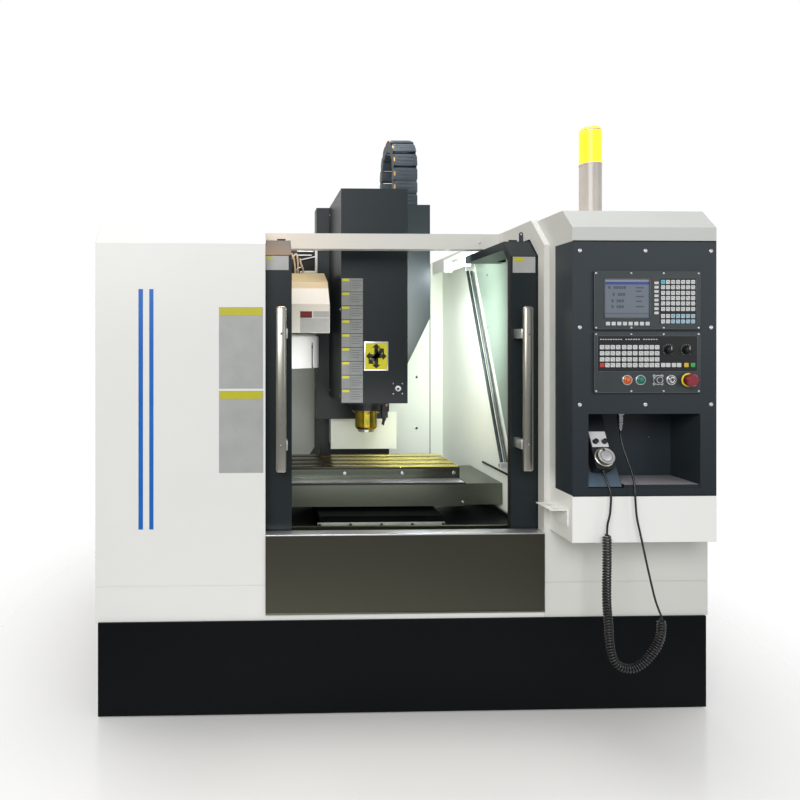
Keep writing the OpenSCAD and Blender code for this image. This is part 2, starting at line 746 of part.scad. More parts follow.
module handwheel_dial() in_machine(STEEL) at_wheel_box() {
    bar_y(0, [wheel_face - 20, wheel_face - 4 - gap], -wheel_drop, wheel_d);
    bar_y(0, [wheel_face - 5, wheel_face + 12], -wheel_drop, 10);
    bar_y(-8, [wheel_face - 26, wheel_face - 19], wheel_d / 2 - wheel_drop - 9, 11);
}

// Selector knob for the axis on the left, for the step on the right
module wheel_knob(x) at_wheel_box() {
    bar_y(x, [wheel_face - 13, wheel_face - gap], knob_rise, 15);
    bar_y(x, [wheel_face - 1, wheel_face + 7], knob_rise, 6);
}

module axis_knob() in_machine(BLACK) wheel_knob(-knob_x);
module step_knob() in_machine(BLACK) wheel_knob(knob_x);

// A tube along a list of points: one ring per point, turned half way between its two neighbours
function unit_of(v) = v / norm(v);
function heading(p, i) = unit_of(p[min(i + 1, len(p) - 1)] - p[max(i - 1, 0)]);
function ring(p, i, d, sides) =
    let (t = heading(p, i), a = unit_of(cross([0, 1, 0], t)), b = cross(t, a))
    [for (k = [0:sides - 1]) p[i] + d / 2 * (cos(360 * k / sides) * a + sin(360 * k / sides) * b)];

module tube(p, d, sides) {
    n = len(p);
    points = [for (i = [0:n - 1]) each ring(p, i, d, sides)];
    walls = [for (i = [0:n - 2], k = [0:sides - 1])
        let (m = (k + 1) % sides) [i * sides + k, i * sides + m, (i + 1) * sides + m, (i + 1) * sides + k]];
    start = [for (k = [sides - 1:-1:0]) k];
    end = [for (k = [0:sides - 1]) (n - 1) * sides + k];
    polyhedron(points, concat(walls, [start, end]), convexity = 10);
}

// Points halfway between the given ones, so that the tube bends in smaller steps
function finer(p) = [for (i = [0:len(p) - 1]) each (i == len(p) - 1 ? [p[i]] : [p[i], (p[i] + p[i + 1]) / 2])];

module cord_lead_in() in_machine(BLACK) tube(finer(lead_in), cord_d, 8);
module cord_curl() in_machine(BLACK) tube(curl, curl_d, 12);
module cord_lead_out() in_machine(BLACK) tube(finer(lead_out), cord_d, 8);

module cord_plug() in_machine(STEEL) {
    plug = lead_out[len(lead_out) - 1];
    bar_z(plug[0], plug[1], [plug_z[0], plug_z[0] + 22], 14);
    bar_z(plug[0], plug[1], [plug_z[0] + 20, plug_z[1] - 6], 19);
    bar_z(plug[0], plug[1], [plug_z[1] - 8, plug_z[1]], 27);
}

module signal_light_body() in_machine(CREAM) {
    bar_z(light_x, light_y, [roof_z, roof_z + 12], light_d + 10);
    bar_z(light_x, light_y, [roof_z, roof_z + light_body_h], light_d);
}

module signal_light_lens() in_machine("#f2c81e") {
    low = roof_z + light_body_h;
    bar_z(light_x, light_y, [low, low + light_lens_h], light_d - 1);
    bar_z(light_x, light_y, [low + light_lens_h - eps, low + light_lens_h + 6], light_d - 14);
}

module work_lamp() in_machine(CREAM) {
    bar_y(lamp_x, [lamp_y[0], lamp_y[1]], lamp_z, 34);
    for (y = [lamp_y[0] - 8, lamp_y[1] - 14])
        span([lamp_x - 20, lamp_x + 20], [y, y + 22], [lamp_z - 20, roof_z - jamb_d + 5]);
    span([lamp_x - 20, half_door], [lamp_y[0] - 8, lamp_y[1] + 8], [roof_z - jamb_d + 2, roof_z - jamb_d + 8]);
}

// Two hoses that run down the right wall between their clamps
hose_top = [857, 1608];
hose_low = [431, 757];

module conduits() in_machine(STEEL) {
    run = hose_top - hose_low;
    wall = chamber_w / 2;
    for (x = [wall - 14, wall - 32])
        translate([x, hose_low[0], hose_low[1]]) rotate([-atan2(run[0], run[1]), 0, 0]) cylinder(d = 15, h = norm(run));
    for (p = [hose_low, hose_top])
        span([wall - 44, wall], [p[0] - 12, p[0] + 12], [p[1] - 12, p[1] + 12]);
}

// White cover of the tool magazine, with the arm and rail that carry it on the column's side
module magazine_housing() in_machine(WHITE) {
    y = housing_y;
    z = housing_z;
    outline = [[y[0], z[0]], [y[0], z[0] + 121], [y[0] + 75, z[0] + 221], [y[0] + 210, z[1]], [y[1], z[1]], [y[1], z[0]]];
    inner = [[y[0] + sheet, z[0] - eps], [y[0] + sheet, z[0] + 120], [y[0] + 78, z[0] + 219],
             [y[0] + 211, z[1] - sheet], [y[1] - sheet, z[1] - sheet], [y[1] - sheet, z[0] - eps]];
    difference() {
        along_x(housing_x, outline);
        along_x([housing_x[0] + sheet, housing_x[1] - sheet], inner);
    }
    span([-chamber_w / 2 + 5, -column_w / 2], [column_y + 40, column_y + 120], arm_z);
    span([-chamber_w / 2 + 5, -480], [880, column_y + 120], arm_z);
    span([-640, -225], [860, 880 + eps], [arm_z[0] + 25, arm_z[1] - 25]);
}

module magazine_carriage() in_machine(CAST) difference() {
    union() {
        span([-drum_x - 65, -drum_x + 65], [spindle_y - 55, 890], [arm_z[0] - 70, arm_z[1] - 2]);
        bar_z(-drum_x, spindle_y, [drum_z[0] + 22, arm_z[0]], 40);
        bar_z(-drum_x, spindle_y, [drum_z[0] + 14, drum_z[0] + 32 - gap], 60);
    }
    // Room for the rail and the arm behind it
    span([-drum_x - 66, -drum_x + 66], [860 - gap, 880 + gap], [arm_z[0] + 25 - gap, arm_z[1] - 25 + gap]);
    span([-drum_x - 66, -drum_x + 66], [880 - gap, 900], [arm_z[0] - eps, arm_z[1]]);
}

module tool_carousel() in_machine(WHITE) translate([-drum_x, spindle_y, 0]) {
    hub_low = drum_z[0] + 32;
    difference() {
        union() {
            translate([0, 0, drum_z[1] - 26]) cylinder(r = drum_r - 1, h = 26);
            translate([0, 0, hub_low]) cylinder(d = 90, h = drum_z[1] + 8 - hub_low);
            difference() {
                translate([0, 0, drum_z[0]]) cylinder(r = drum_r, h = drum_z[1] - drum_z[0] - 4);
                translate([0, 0, drum_z[0] - eps]) cylinder(r = drum_r - 3, h = drum_z[1] - drum_z[0]);
                for (i = [0:pocket_count - 1]) rotate(360 / pocket_count * i)
                    span([drum_r - 20, drum_r + 10], [-8.2, 8.2], [drum_z[0] - eps, drum_z[1] - 30]);
            }
        }
        translate([0, 0, hub_low - eps]) cylinder(d = 40 + 2 * fit, h = 200);
    }
    // Gripper forks, open outwards, one for each pocket
    for (i = [0:pocket_count - 1]) rotate(360 / pocket_count * i) difference() {
        span([drum_r - 74, drum_r - 24], [-25, 25], [drum_z[1] - 50, drum_z[1] - 25]);
        translate([drum_r - 40, 0, drum_z[1] - 51]) cylinder(r = 17, h = 25);
        span([drum_r - 40, drum_r - 20], [-15, 15], [drum_z[1] - 51, drum_z[1] - 26]);
    }
}

// Carriage block on a guide rail; the rail lies along Z with its foot at y = 0
module rail_block(length, depth, width) difference() {
    translate([-width / 2, -depth, 0]) cube([width, depth - 7, length]);
    translate([-rail_w / 2 - gap, -rail_h - gap, -eps]) cube([rail_w + 2 * gap, rail_h + eps, length + 2 * eps]);
}

module saddle() in_machine(CAST) {
    y = [table_front - 178, table_front + table_w + 2];
    difference() {
        union() {
            span([-saddle_half, saddle_half], y, [saddle_z, saddle_z + 48]);
            span([-slide_half, slide_half], [table_y - slide_deep, table_y + slide_deep], [saddle_z + 40, saddle_top]);
            span([-saddle_half - 8, saddle_half + 8], [y[0] - 5, y[0] + eps], [saddle_z - 7, saddle_z + 11]);
            span([-28, 28], [table_y - 90, table_y - 30], [y_screw_z - 23, saddle_z + eps]);
            translate([slide_half, table_y, x_screw_z]) rotate([0, 90, 0]) square_motor(100);
        }
        span([-slide_half + 15, slide_half - 15], [table_y - 34, table_y + 34], [x_screw_z - 28, saddle_top + eps]);
        bar_x([-slide_half - eps, slide_half + 4], table_y, x_screw_z, screw_d + 2 * gap);
        bar_y(0, [table_y - 95, table_y - 25], y_screw_z, screw_d + 2 * gap);
        // Recessed field in the front face
        span([-saddle_half + 20, 180], [y[0] - eps, y[0] + 6], [saddle_z + 14, saddle_z + 44]);
    }
    for (x = [-y_rail_x, y_rail_x], at = [y[0] + 55, y[1] - 155])
        translate([x, at, bed_z]) rotate([-90, 0, 0]) mirror([0, 0, 0]) rail_block(100, 42 + eps, 60);
    for (side = [-1, 1]) span([-slide_half, slide_half],
        [table_y + side * x_rail_y - rail_w / 2, table_y + side * x_rail_y + rail_w / 2], [saddle_top - eps, x_rail_top]);
}

// Telescopic end sections of the table's way cover, nested under the moving middle section
module cover_wings() in_machine(BRUSHED) both_sides() {
    out = chamber_w / 2 - 2;
    z = [table_under - 8, table_under - 5];
    front = cover_front + 6;
    back = cover_back - 6;
    span([200, out], [front, table_y - 133], z);
    span([200, out], [table_y + 133, back], z);
    span([slide_half + gap, out], [front, back], z);
    for (y = [[front, front + sheet], [back - sheet, back]]) span([200, out], y, [cover_low + 4, z[1]]);
    for (y = [table_y - slide_deep, table_y + slide_deep - 20])
        span([slide_half + gap, slide_half + 4], [y, y + 20], [saddle_z + 50, z[1]]);
}

// Work table with T slots, its under part, carriage blocks and screw nut
module table() in_machine("#b9a24a") {
    slot_depth = 26;
    base_half = 185;
    difference() {
        span([-table_l / 2, table_l / 2], [table_front, table_front + table_w], [table_under, table_z]);
        for (i = [0:slot_count - 1]) {
            y = table_y + (i - (slot_count - 1) / 2) * slot_pitch;
            span([-table_l, table_l], [y - slot_w / 2, y + slot_w / 2], [table_z - slot_depth, table_z + eps]);
            span([-table_l, table_l], [y - slot_w * 0.9, y + slot_w * 0.9], [table_z - slot_depth, table_z - slot_depth + 11]);
        }
    }
    difference() {
        union() {
            span([-base_half, base_half], [table_y - 128, table_y + 128], [table_base_z, table_under + eps]);
            span([-30, 30], [table_y - 30, table_y + 30], [x_screw_z - 24, table_base_z + eps]);
        }
        bar_x([-31, 31], table_y, x_screw_z, screw_d + 2 * gap);
    }
    for (side = [-1, 1], x = [-170, 90])
        translate([x, table_y + side * x_rail_y, saddle_top]) rotate([90, 0, 90])
            difference() {
                translate([-30, 7, 0]) cube([60, table_base_z - saddle_top - 7 + eps, 80]);
                translate([-rail_w / 2 - gap, -eps, -eps]) cube([rail_w + 2 * gap, rail_h + gap + eps, 80 + 2 * eps]);
            }
}

module way_cover() in_machine(STEEL) {
    z = [table_under - sheet, table_under];
    for (y = [[cover_front, table_y - 128 - gap], [table_y + 128 + gap, cover_back]]) span([-cover_half, cover_half], y, z);
    for (y = [[cover_front, cover_front + sheet], [cover_back - sheet, cover_back]])
        span([-cover_half, cover_half], y, [cover_low, z[1]]);
}

// Cast headstock with its slide plate, carriage blocks, screw nut and coolant block
module head_casting() in_machine(CAST) {
    difference() {
        union() {
            span([-casting_half, casting_half], [spindle_y - 107, slide_y + 26], [head_z[0] + 3, casting_top]);
            bar_z(0, spindle_y, [casting_low, head_z[0] + 4], flange_d + 14);
            span([-150, 150], [slide_y + 25, slide_y + 75], [carriage_z[0] - 10, carriage_z[1] + 10]);
            span([-28, 28], [slide_y + 74, z_screw_y + 26], [1200, 1260]);
            span([flange_d / 2 + 2, flange_d / 2 + 28], [spindle_y - 15, spindle_y + 15], [casting_low - 60, head_z[0] + 4]);
        }
        bar_z(0, spindle_y, [casting_low - eps, cartridge_top], cartridge_d + 2 * fit);
        bar_z(0, spindle_y, [cartridge_top - eps, casting_top + eps], shaft_d + 20);
        bar_z(0, z_screw_y, [1199, 1261], screw_d + 2 * gap);
    }
    for (x = [-z_rail_x, z_rail_x], z = [carriage_z[0], carriage_z[1] - 100])
        translate([x, column_y, z]) rail_block(100, 36, 60);
}

// Sheet cover of the head: front box, slide cover behind it and the cable wing on the right
module head_cover() in_machine(CHARCOAL) {
    half = head_w / 2;
    difference() {
        span([-half, half], [head_y, slide_y + sheet], head_z);
        span([-half + sheet, half - sheet], [head_y + sheet, slide_y + sheet + eps], [head_z[0] + 2, head_z[1] - sheet]);
        bar_z(0, spindle_y, [head_z[0] - eps, head_z[0] + 4], flange_d + 20);
        span([flange_d / 2, flange_d / 2 + 30], [spindle_y - 17, spindle_y + 17], [head_z[0] - eps, head_z[0] + 4]);
    }
    difference() {
        union() {
            span([-slide_cover_w / 2, wing_x - 134], [slide_y, slide_y + sheet], [head_z[0], head_z[1]]);
            span([-slide_cover_w / 2, half - 25], [slide_y, slide_y + sheet], [slide_cover_z, head_z[0] + eps]);
        }
        span([-casting_half - 1, casting_half + 1], [slide_y - eps, slide_y + sheet + eps], [head_z[0] + 2, casting_top + 1]);
    }
    span([-slide_cover_w / 2, -slide_cover_w / 2 + sheet], [slide_y, column_y - 20], [slide_cover_z, head_z[1]]);
    along_y([slide_y - 85, slide_y - 85 + sheet],
        [[half - eps, head_z[0]], [219, head_z[0] + 155], [wing_x, head_z[0] + 375], [wing_x, head_z[1]], [half - eps, head_z[1]]]);
    span([wing_x - sheet, wing_x], [slide_y - 85, slide_y + 10], [head_z[0] + 375, head_z[1]]);
    // Foot that carries the moving end of the cable chain
    along_y([slide_y, slide_y + sheet], [
        [wing_x - 135, chain_low - 60], [wing_x - 54, chain_low - 60], [wing_x, chain_low + 49],
        [wing_x, head_z[1]], [wing_x - 135, head_z[1]]]);
    span([wing_x - 135, chain_x + chain_w], [slide_y, chain_near_y + chain_h - 10], [chain_low - 8, chain_low - gap]);
}

module spindle_cartridge() in_machine("#9a8a3c") difference() {
    union() {
        translate([0, spindle_y, cartridge_low]) cylinder(d1 = cartridge_d - 12, d2 = cartridge_d, h = 10);
        bar_z(0, spindle_y, [cartridge_low + 10, cartridge_top - eps], cartridge_d);
        bar_z(0, spindle_y, [flange_low, casting_low], flange_d);
        for (i = [0:5]) rotate_about_spindle(60 * i + 30)
            bar_z(flange_d / 2 - 11, 0, [flange_low - 8, flange_low + eps], 11);
    }
    bar_z(0, spindle_y, [cartridge_low - eps, cartridge_top], shaft_d + 2 * fit);
}

module rotate_about_spindle(a) translate([0, spindle_y, 0]) rotate(a) children();

module spindle() in_machine(STEEL) difference() {
    union() {
        bar_z(0, spindle_y, [nose_z, casting_top - 20], shaft_d);
        bar_z(0, spindle_y, [nose_z, cartridge_low - gap], shaft_d + 14);
    }
    translate([0, spindle_y, nose_z - 0.01])
        cylinder(d1 = taper_d, d2 = taper_d - taper_depth * 7 / 24, h = taper_depth);
    for (a = [0, 180]) rotate_about_spindle(a) span([taper_d / 2 + 4, shaft_d], [-8, 8], [nose_z - eps, nose_z + 5]);
}

module spindle_motor() in_machine(BLACK) {
    span([-95, 95], [spindle_y - 95, spindle_y + 95], [casting_top, casting_top + 300]);
    bar_z(0, spindle_y, [casting_top + 299, casting_top + 350], 150);
    bar_z(0, spindle_y, [casting_top - 19, casting_top + eps], 45);
}

module ball_screw(length) {
    cylinder(d = screw_d, h = length);
}

module x_screw() in_machine(STEEL)
    translate([-slide_half, table_y, x_screw_z]) rotate([0, 90, 0]) ball_screw(2 * slide_half + 3);
module y_screw() in_machine(STEEL)
    translate([0, bed_y[0] + gap, y_screw_z]) rotate([-90, 0, 0]) ball_screw(column_y - bed_y[0] - 15);
module z_screw() in_machine(STEEL)
    translate([0, z_screw_y, 880 + gap]) ball_screw(column_z - 880 - 2 * gap);

// One chain link, its pins at z = 0 and z = chain_pitch, the chain's inside towards +Y
module chain_link(joined) {
    plate = 6;
    tongue = 5;
    radius = chain_h / 2;
    reach = (chain_pitch - 1) / 2;
    for (side = [0, 1]) translate([side * chain_w, 0, 0]) mirror([side, 0, 0]) {
        rotate([90, 0, 90]) linear_extrude(plate) intersection() {
            square([chain_h, 2 * reach], center = true);
            union() {
                square([chain_h, 2 * reach - 24], center = true);
                for (y = [-1, 1]) translate([0, y * (reach - radius)]) circle(radius);
            }
        }
        if (joined) translate([plate - 0.01, 0, 0]) rotate([90, 0, 90]) linear_extrude(tongue) {
            translate([-14, -8]) square([28, chain_pitch / 2 + 8]);
            translate([0, chain_pitch / 2]) circle(18);
        }
    }
    // Outer lid over the whole link, narrower inner lid that clears its neighbours in the bend
    for (lid = [[-radius, 27], [radius - 5, 20]])
        translate([plate - 0.01, lid[0], -lid[1]]) cube([chain_w - 2 * plate + 0.02, 5, 2 * lid[1]]);
}

// Place of link i along the two straight strands and the bend: [y, z, turn]
function link_place(i) =
    i < near_links ? [chain_near_y + chain_h / 2, chain_low + (i + 0.5) * chain_pitch, 0]
    : i < near_links + bend_links
        ? let (a = 180 * (i - near_links + 0.5) / bend_links)
          [chain_mid_y - chain_r * cos(a), chain_bend_z + chain_r * sin(a), -a]
        : [chain_mid_y + chain_r, chain_bend_z - (i - near_links - bend_links + 0.5) * chain_pitch, 180];

module cable_chain() in_machine(BLACK)
    for (i = [0:near_links + bend_links + far_links - 1]) {
        p = link_place(i);
        translate([chain_x, p[0], p[1]]) rotate([p[2], 0, 0]) chain_link(i < near_links + bend_links + far_links - 1);
    }

// Cabinet on the guard's back: an open box with its mounting plate and rows of devices
module electrical_cabinet() in_machine(WHITE) {
    y = [guard_back, guard_back + cabinet_d - 25];
    half = cabinet_w / 2;
    difference() {
        span([-half, half], y, cabinet_z);
        span([-half + sheet, half - sheet], [y[0] + sheet, y[1] + eps], [cabinet_z[0] + sheet, cabinet_z[1] - sheet]);
    }
    span([-half + 40, half - 40], [y[0] + sheet - eps, y[0] + 12], [cabinet_z[0] + 60, cabinet_z[1] - 60]);
    for (i = [0:3]) span([-half + 80 + 130 * i, -half + 180 + 130 * i], [y[0] + 11, y[0] + 130], [cabinet_z[1] - 420, cabinet_z[1] - 120]);
    for (i = [0:9]) span([-half + 80 + 60 * i, -half + 128 + 60 * i], [y[0] + 11, y[0] + 90], [cabinet_z[1] - 640, cabinet_z[1] - 540]);
    span([-half + 80, half - 80], [y[0] + 11, y[0] + 70], [cabinet_z[0] + 140, cabinet_z[0] + 200]);
    for (z = hinge_z) {
        bar_z(hinge_x, hinge_y, [z, z + 40], 14);
        span([hinge_x, -half + eps], [y[1] - 30, hinge_y + 5], [z, z + 40]);
    }
}

hinge_x = -cabinet_w / 2 - 7;
hinge_y = guard_back + cabinet_d - 15;
hinge_z = [cabinet_z[0] + 180, cabinet_z[1] - 260];

module cabinet_door() in_machine(WHITE) {
    y = [guard_back + cabinet_d - 25 + gap, guard_back + cabinet_d];
    half = cabinet_w / 2 - 3;
    difference() {
        span([-half, half], y, [cabinet_z[0] + 3, cabinet_z[1] - 3]);
        span([-half + sheet, half - sheet], [y[0] - eps, y[1] - sheet], [cabinet_z[0] + 6, cabinet_z[1] - 6]);
        for (x = [-250, 250], i = [0:5]) span([x - 80, x + 80], [y[1] - sheet - eps, y[1] + eps],
            [cabinet_z[0] + 120 + 22 * i, cabinet_z[0] + 128 + 22 * i]);
    }
    for (z = hinge_z) {
        bar_z(hinge_x, hinge_y, [z + 40 + gap, z + 80], 14);
        span([hinge_x, -half + eps], [hinge_y - 4, hinge_y + 4], [z + 40 + gap, z + 80]);
    }
}

base_plinth();
levelling_feet();
bed();
column();
left_guard();
right_guard();
chamber();
front_panel();
top_beam();
pendant_shell();
pendant_frame();
cnc_unit();
display_screen();
key_sheets();
operator_panel();
panel_screws();
handwheel_box();
cord_lead_in();
cord_curl();
cord_lead_out();
cord_plug();
signal_light_body();
signal_light_lens();
work_lamp();
conduits();
guide_rails();
axis_motors();
magazine_housing();
electrical_cabinet();
cabinet_door();
left_door();
left_window();
left_handle();
right_door();
right_window();
right_handle();
saddle();
cover_wings();
table();
way_cover();
head_casting();
head_cover();
spindle_cartridge();
spindle_motor();
spindle();
cable_chain();
magazine_carriage();
tool_carousel();
x_screw();
y_screw();
z_screw();
orange_button();
green_button();
key_switch();
estop_button();
feed_dial();
speed_dial();
handwheel_dial();
axis_knob();
step_knob();
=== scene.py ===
"""Looks of a small vertical machining centre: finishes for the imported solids, and the fine pieces on them."""
import math

import bmesh
import bpy
from mathutils import Matrix, Vector


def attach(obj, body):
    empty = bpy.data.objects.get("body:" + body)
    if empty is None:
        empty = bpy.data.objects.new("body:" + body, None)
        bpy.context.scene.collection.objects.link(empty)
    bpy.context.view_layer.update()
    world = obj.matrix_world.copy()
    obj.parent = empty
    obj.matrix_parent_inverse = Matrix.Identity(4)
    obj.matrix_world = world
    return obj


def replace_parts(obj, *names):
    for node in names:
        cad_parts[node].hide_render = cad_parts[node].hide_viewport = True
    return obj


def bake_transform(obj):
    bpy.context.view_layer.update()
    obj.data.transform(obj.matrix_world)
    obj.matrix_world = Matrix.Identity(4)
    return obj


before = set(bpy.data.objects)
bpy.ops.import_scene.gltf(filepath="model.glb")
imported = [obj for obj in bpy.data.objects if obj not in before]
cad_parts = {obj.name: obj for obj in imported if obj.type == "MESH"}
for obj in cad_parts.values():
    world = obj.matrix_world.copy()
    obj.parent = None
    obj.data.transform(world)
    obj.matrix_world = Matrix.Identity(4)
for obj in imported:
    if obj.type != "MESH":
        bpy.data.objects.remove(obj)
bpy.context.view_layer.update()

# The front sheet's outer face lies 702 mm in front of the origin. Lengths below are millimetres in the
# machine's own terms: x to the right, y back from the front sheet, z up from the floor.
FRONT = -702
SPINDLE_Y = 747
PANEL_Y = -165
OUT, UP, BACK = (0, -1, 0), (0, 0, 1), (0, 1, 0)


def at(x, y, z):
    return Vector((x, FRONT + y, z)) * 0.001


def round_about(radius, degrees, a=0, b=0):
    """A point on a circle round (a, b)."""
    return a + radius * math.cos(math.radians(degrees)), b + radius * math.sin(math.radians(degrees))


def linked(name, data):
    """A new object in the scene."""
    item = bpy.data.objects.new(name, data)
    bpy.context.scene.collection.objects.link(item)
    return item


# ---- camera
lens = bpy.data.cameras.new("camera")
lens.lens, lens.sensor_width = 29.25, 36
lens.shift_x, lens.shift_y = 0.16675, -0.0725
lens.clip_start, lens.clip_end = 0.05, 60
camera = linked("camera", lens)
camera.location = at(-537, -2201, 1261)
camera.rotation_euler = (math.radians(90), 0, math.radians(-1.64))
bpy.context.scene.camera = camera


# ---- mesh making
def piece(name, mesh, material, body="machine"):
    """Links a finished mesh as one piece that moves with a body."""
    item = linked(name, mesh)
    mesh.materials.clear()
    mesh.materials.append(material)
    if body:
        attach(item, body)
    return item


def mesh_of(name, build, smooth=40):
    """Runs build on an empty bmesh, cleans it and returns a mesh shaded smooth below an angle."""
    bm = bmesh.new()
    build(bm)
    bmesh.ops.remove_doubles(bm, verts=bm.verts, dist=1e-6)
    bmesh.ops.recalc_face_normals(bm, faces=bm.faces)
    limit = math.radians(smooth)
    for face in bm.faces:
        face.smooth = True
    for edge in bm.edges:
        if len(edge.link_faces) == 2 and edge.calc_face_angle(0) > limit:
            edge.smooth = False
    mesh = bpy.data.meshes.new(name)
    bm.to_mesh(mesh)
    bm.free()
    return mesh


def shape(name, build, material, body="machine", smooth=35):
    """One piece from a build function."""
    return piece(name, mesh_of(name, build, smooth), material, body)


def block(bm, x, y, z, soft=0.0, steps=2):
    """A block between limits, with edges rounded by soft millimetres."""
    made = bmesh.ops.create_cube(bm, size=1)["verts"]
    middle = at(*((low + high) / 2 for low, high in (x, y, z)))
    for v in made:
        v.co = Vector([c * (high - low) for c, (low, high) in zip(v.co, (x, y, z))]) * 0.001 + middle
    if soft:
        edges = list({e for v in made for e in v.link_edges})
        bmesh.ops.bevel(bm, geom=edges, offset=soft * 0.001, segments=steps, profile=0.5, affect="EDGES",
                        clamp_overlap=True)


def turned(bm, centre, axis, outline, sides=40, closed=False):
    """Revolves (radius, height) points about an axis through centre; heights run along the axis."""
    axis = Vector(axis).normalized()
    side = axis.orthogonal().normalized()
    other = axis.cross(side)
    rings = []
    for radius, height in outline:
        base = at(*centre) + axis * height * 0.001
        if radius < 1e-6:
            rings.append([bm.verts.new(base)])
        else:
            rings.append([bm.verts.new(base + (side * math.cos(a) + other * math.sin(a)) * radius * 0.001)
                          for a in (2 * math.pi * i / sides for i in range(sides))])
    pairs = list(zip(rings, rings[1:])) + ([(rings[-1], rings[0])] if closed else [])
    for low, high in pairs:
        for i in range(sides):
            j = (i + 1) % sides
            corners = list(dict.fromkeys([low[i % len(low)], low[j % len(low)], high[j % len(high)],
                                          high[i % len(high)]]))
            if len(corners) > 2:
                bm.faces.new(corners)


def lathe(name, centre, outline, sides, material, body="machine", axis=OUT, closed=False, smooth=35):
    """One revolved piece."""
    return shape(name, lambda bm: turned(bm, centre, axis, outline, sides, closed), material, body, smooth)


def drawn(bm, outline, thick):
    """A flat outline of (x, y, z) points, thickened by the vector thick, both in millimetres."""
    low = [bm.verts.new(at(*p)) for p in outline]
    high = [bm.verts.new(at(*p) + Vector(thick) * 0.001) for p in outline]
    bm.faces.new(low)
    bm.faces.new(high[::-1])
    for i in range(len(low)):
        j = (i + 1) % len(low)
        bm.faces.new([low[i], high[i], high[j], low[j]])


def swept(bm, points, diameter, sides=10):
    """A round tube along points given in metres, its section carried along without twist."""
    ahead = [(points[min(i + 1, len(points) - 1)] - points[max(i - 1, 0)]).normalized() for i in range(len(points))]
    side = ahead[0].orthogonal().normalized()
    rings = []
    for p, t in zip(points, ahead):
        side = (side - t * side.dot(t)).normalized()
        other = t.cross(side)
        rings.append([bm.verts.new(p + (side * math.cos(a) + other * math.sin(a)) * diameter * 0.0005)
                      for a in (2 * math.pi * k / sides for k in range(sides))])
    for low, high in zip(rings, rings[1:]):
        for k in range(sides):
            m = (k + 1) % sides
            bm.faces.new([low[k], low[m], high[m], high[k]])
    bm.faces.new(rings[0][::-1])
    bm.faces.new(rings[-1])


def smooth_line(points, step):
    """Points in millimetres joined by one smooth curve through all of them, in metres."""
    p = [at(*q) for q in points]
    p = [2 * p[0] - p[1]] + p + [2 * p[-1] - p[-2]]
    line = []
    for i in range(1, len(p) - 2):
        a, b, c, d = p[i - 1:i + 3]
        count = max(1, round((c - b).length / (step * 0.001)))
        for k in range(count):
            t = k / count
            line.append(0.5 * (2 * b + (c - a) * t + (2 * a - 5 * b + 4 * c - d) * t * t
                               + (3 * b - a - 3 * c + d) * t ** 3))
    return line + [p[-2]]


# ---- node helpers
def wire(tree, node, sockets):
    """Sets a node's inputs, by name or number, to a value or to another node's output."""
    for key, value in sockets.items():
        if isinstance(value, bpy.types.NodeSocket):
            tree.links.new(value, node.inputs[key])
        else:
            node.inputs[key].default_value = value


def add(tree, kind, sockets=None, **settings):
    """Adds a node with its inputs and settings; kind leaves out the tree's own kind."""
    made = tree.nodes.new(tree.bl_idname.removesuffix("Tree") + kind)
    for key, value in settings.items():
        setattr(made, key, value)
    wire(tree, made, sockets or {})
    return made


def colour(code):
    """An sRGB hex value as the linear colour that shaders take."""
    parts = [int(code[i:i + 2], 16) / 255 for i in (1, 3, 5)]
    return [c / 12.92 if c <= 0.04045 else ((c + 0.055) / 1.055) ** 2.4 for c in parts] + [1]


def blank(name):
    """A new material, its node tree, its shader and the place on the object."""
    material = bpy.data.materials.new(name)
    material.use_nodes = True
    tree = material.node_tree
    return material, tree, tree.nodes["Principled BSDF"], add(tree, "TexCoord").outputs["Object"]


def span_of(tree, value, start, end, low=0.0, high=1.0, **settings):
    """How far a value has gone from start to end, laid between low and high."""
    return add(tree, "MapRange", {"Value": value, "From Min": start, "From Max": end, "To Min": low, "To Max": high},
               **settings).outputs["Result"]


def finish(name, tones, rough=0.4, patch=20, grain=1, relief=0.01, metallic=0.0, spread=0.5, stretch=(1, 1, 1),
           edge=0.0, coat=0.0, ior=1.5, rough_swing=0.06, glow=("#ffffff", 0), second=None):
    """A surface of two tones in patches, with a fine relief and its edges eased; lengths in millimetres.
    second holds a third tone, where it fades out in metres of height, and X or normal if it goes by these."""
    material, tree, shader, place = blank(name)
    laid = add(tree, "Mapping", {"Vector": place, "Scale": stretch}).outputs["Vector"]
    broad = add(tree, "TexNoise", {"Vector": laid, "Scale": 1000 / patch, "Detail": 4, "Roughness": 0.55})
    fine = add(tree, "TexNoise", {"Vector": laid, "Scale": 1000 / grain, "Detail": 2}).outputs["Fac"]
    ramp = add(tree, "ValToRGB", {"Fac": broad.outputs["Fac"]})
    for mark, side, tone in zip(ramp.color_ramp.elements, (-0.5, 0.5), tones):
        mark.position, mark.color = 0.5 + side * spread, colour(tone)
    shade = ramp.outputs["Color"]
    bump = add(tree, "Bump", {"Height": fine, "Distance": relief * 0.001, "Strength": 0.6})
    if edge:
        wire(tree, bump, {"Normal": add(tree, "Bevel", {"Radius": edge * 0.001}, samples=4).outputs[0]})
    if second:
        code, start, end, way = (*second, "Z")[:4]
        source = add(tree, "NewGeometry").outputs["Normal"] if way == "normal" else place
        rise = add(tree, "SeparateXYZ", {"Vector": source}).outputs["X" if way == "X" else "Z"]
        shade = add(tree, "Mix", {0: span_of(tree, rise, start, end), 6: colour(code), 7: shade},
                    data_type="RGBA").outputs[2]
    wire(tree, shader, {
        "Base Color": shade, "Normal": bump.outputs["Normal"], "Metallic": metallic, "Coat Weight": coat,
        "Roughness": span_of(tree, fine, 0.3, 0.7, rough - rough_swing, rough + rough_swing), "Coat Roughness": 0.12,
        "IOR": ior, "Emission Color": colour(glow[0]), "Emission Strength": glow[1]})
    return material


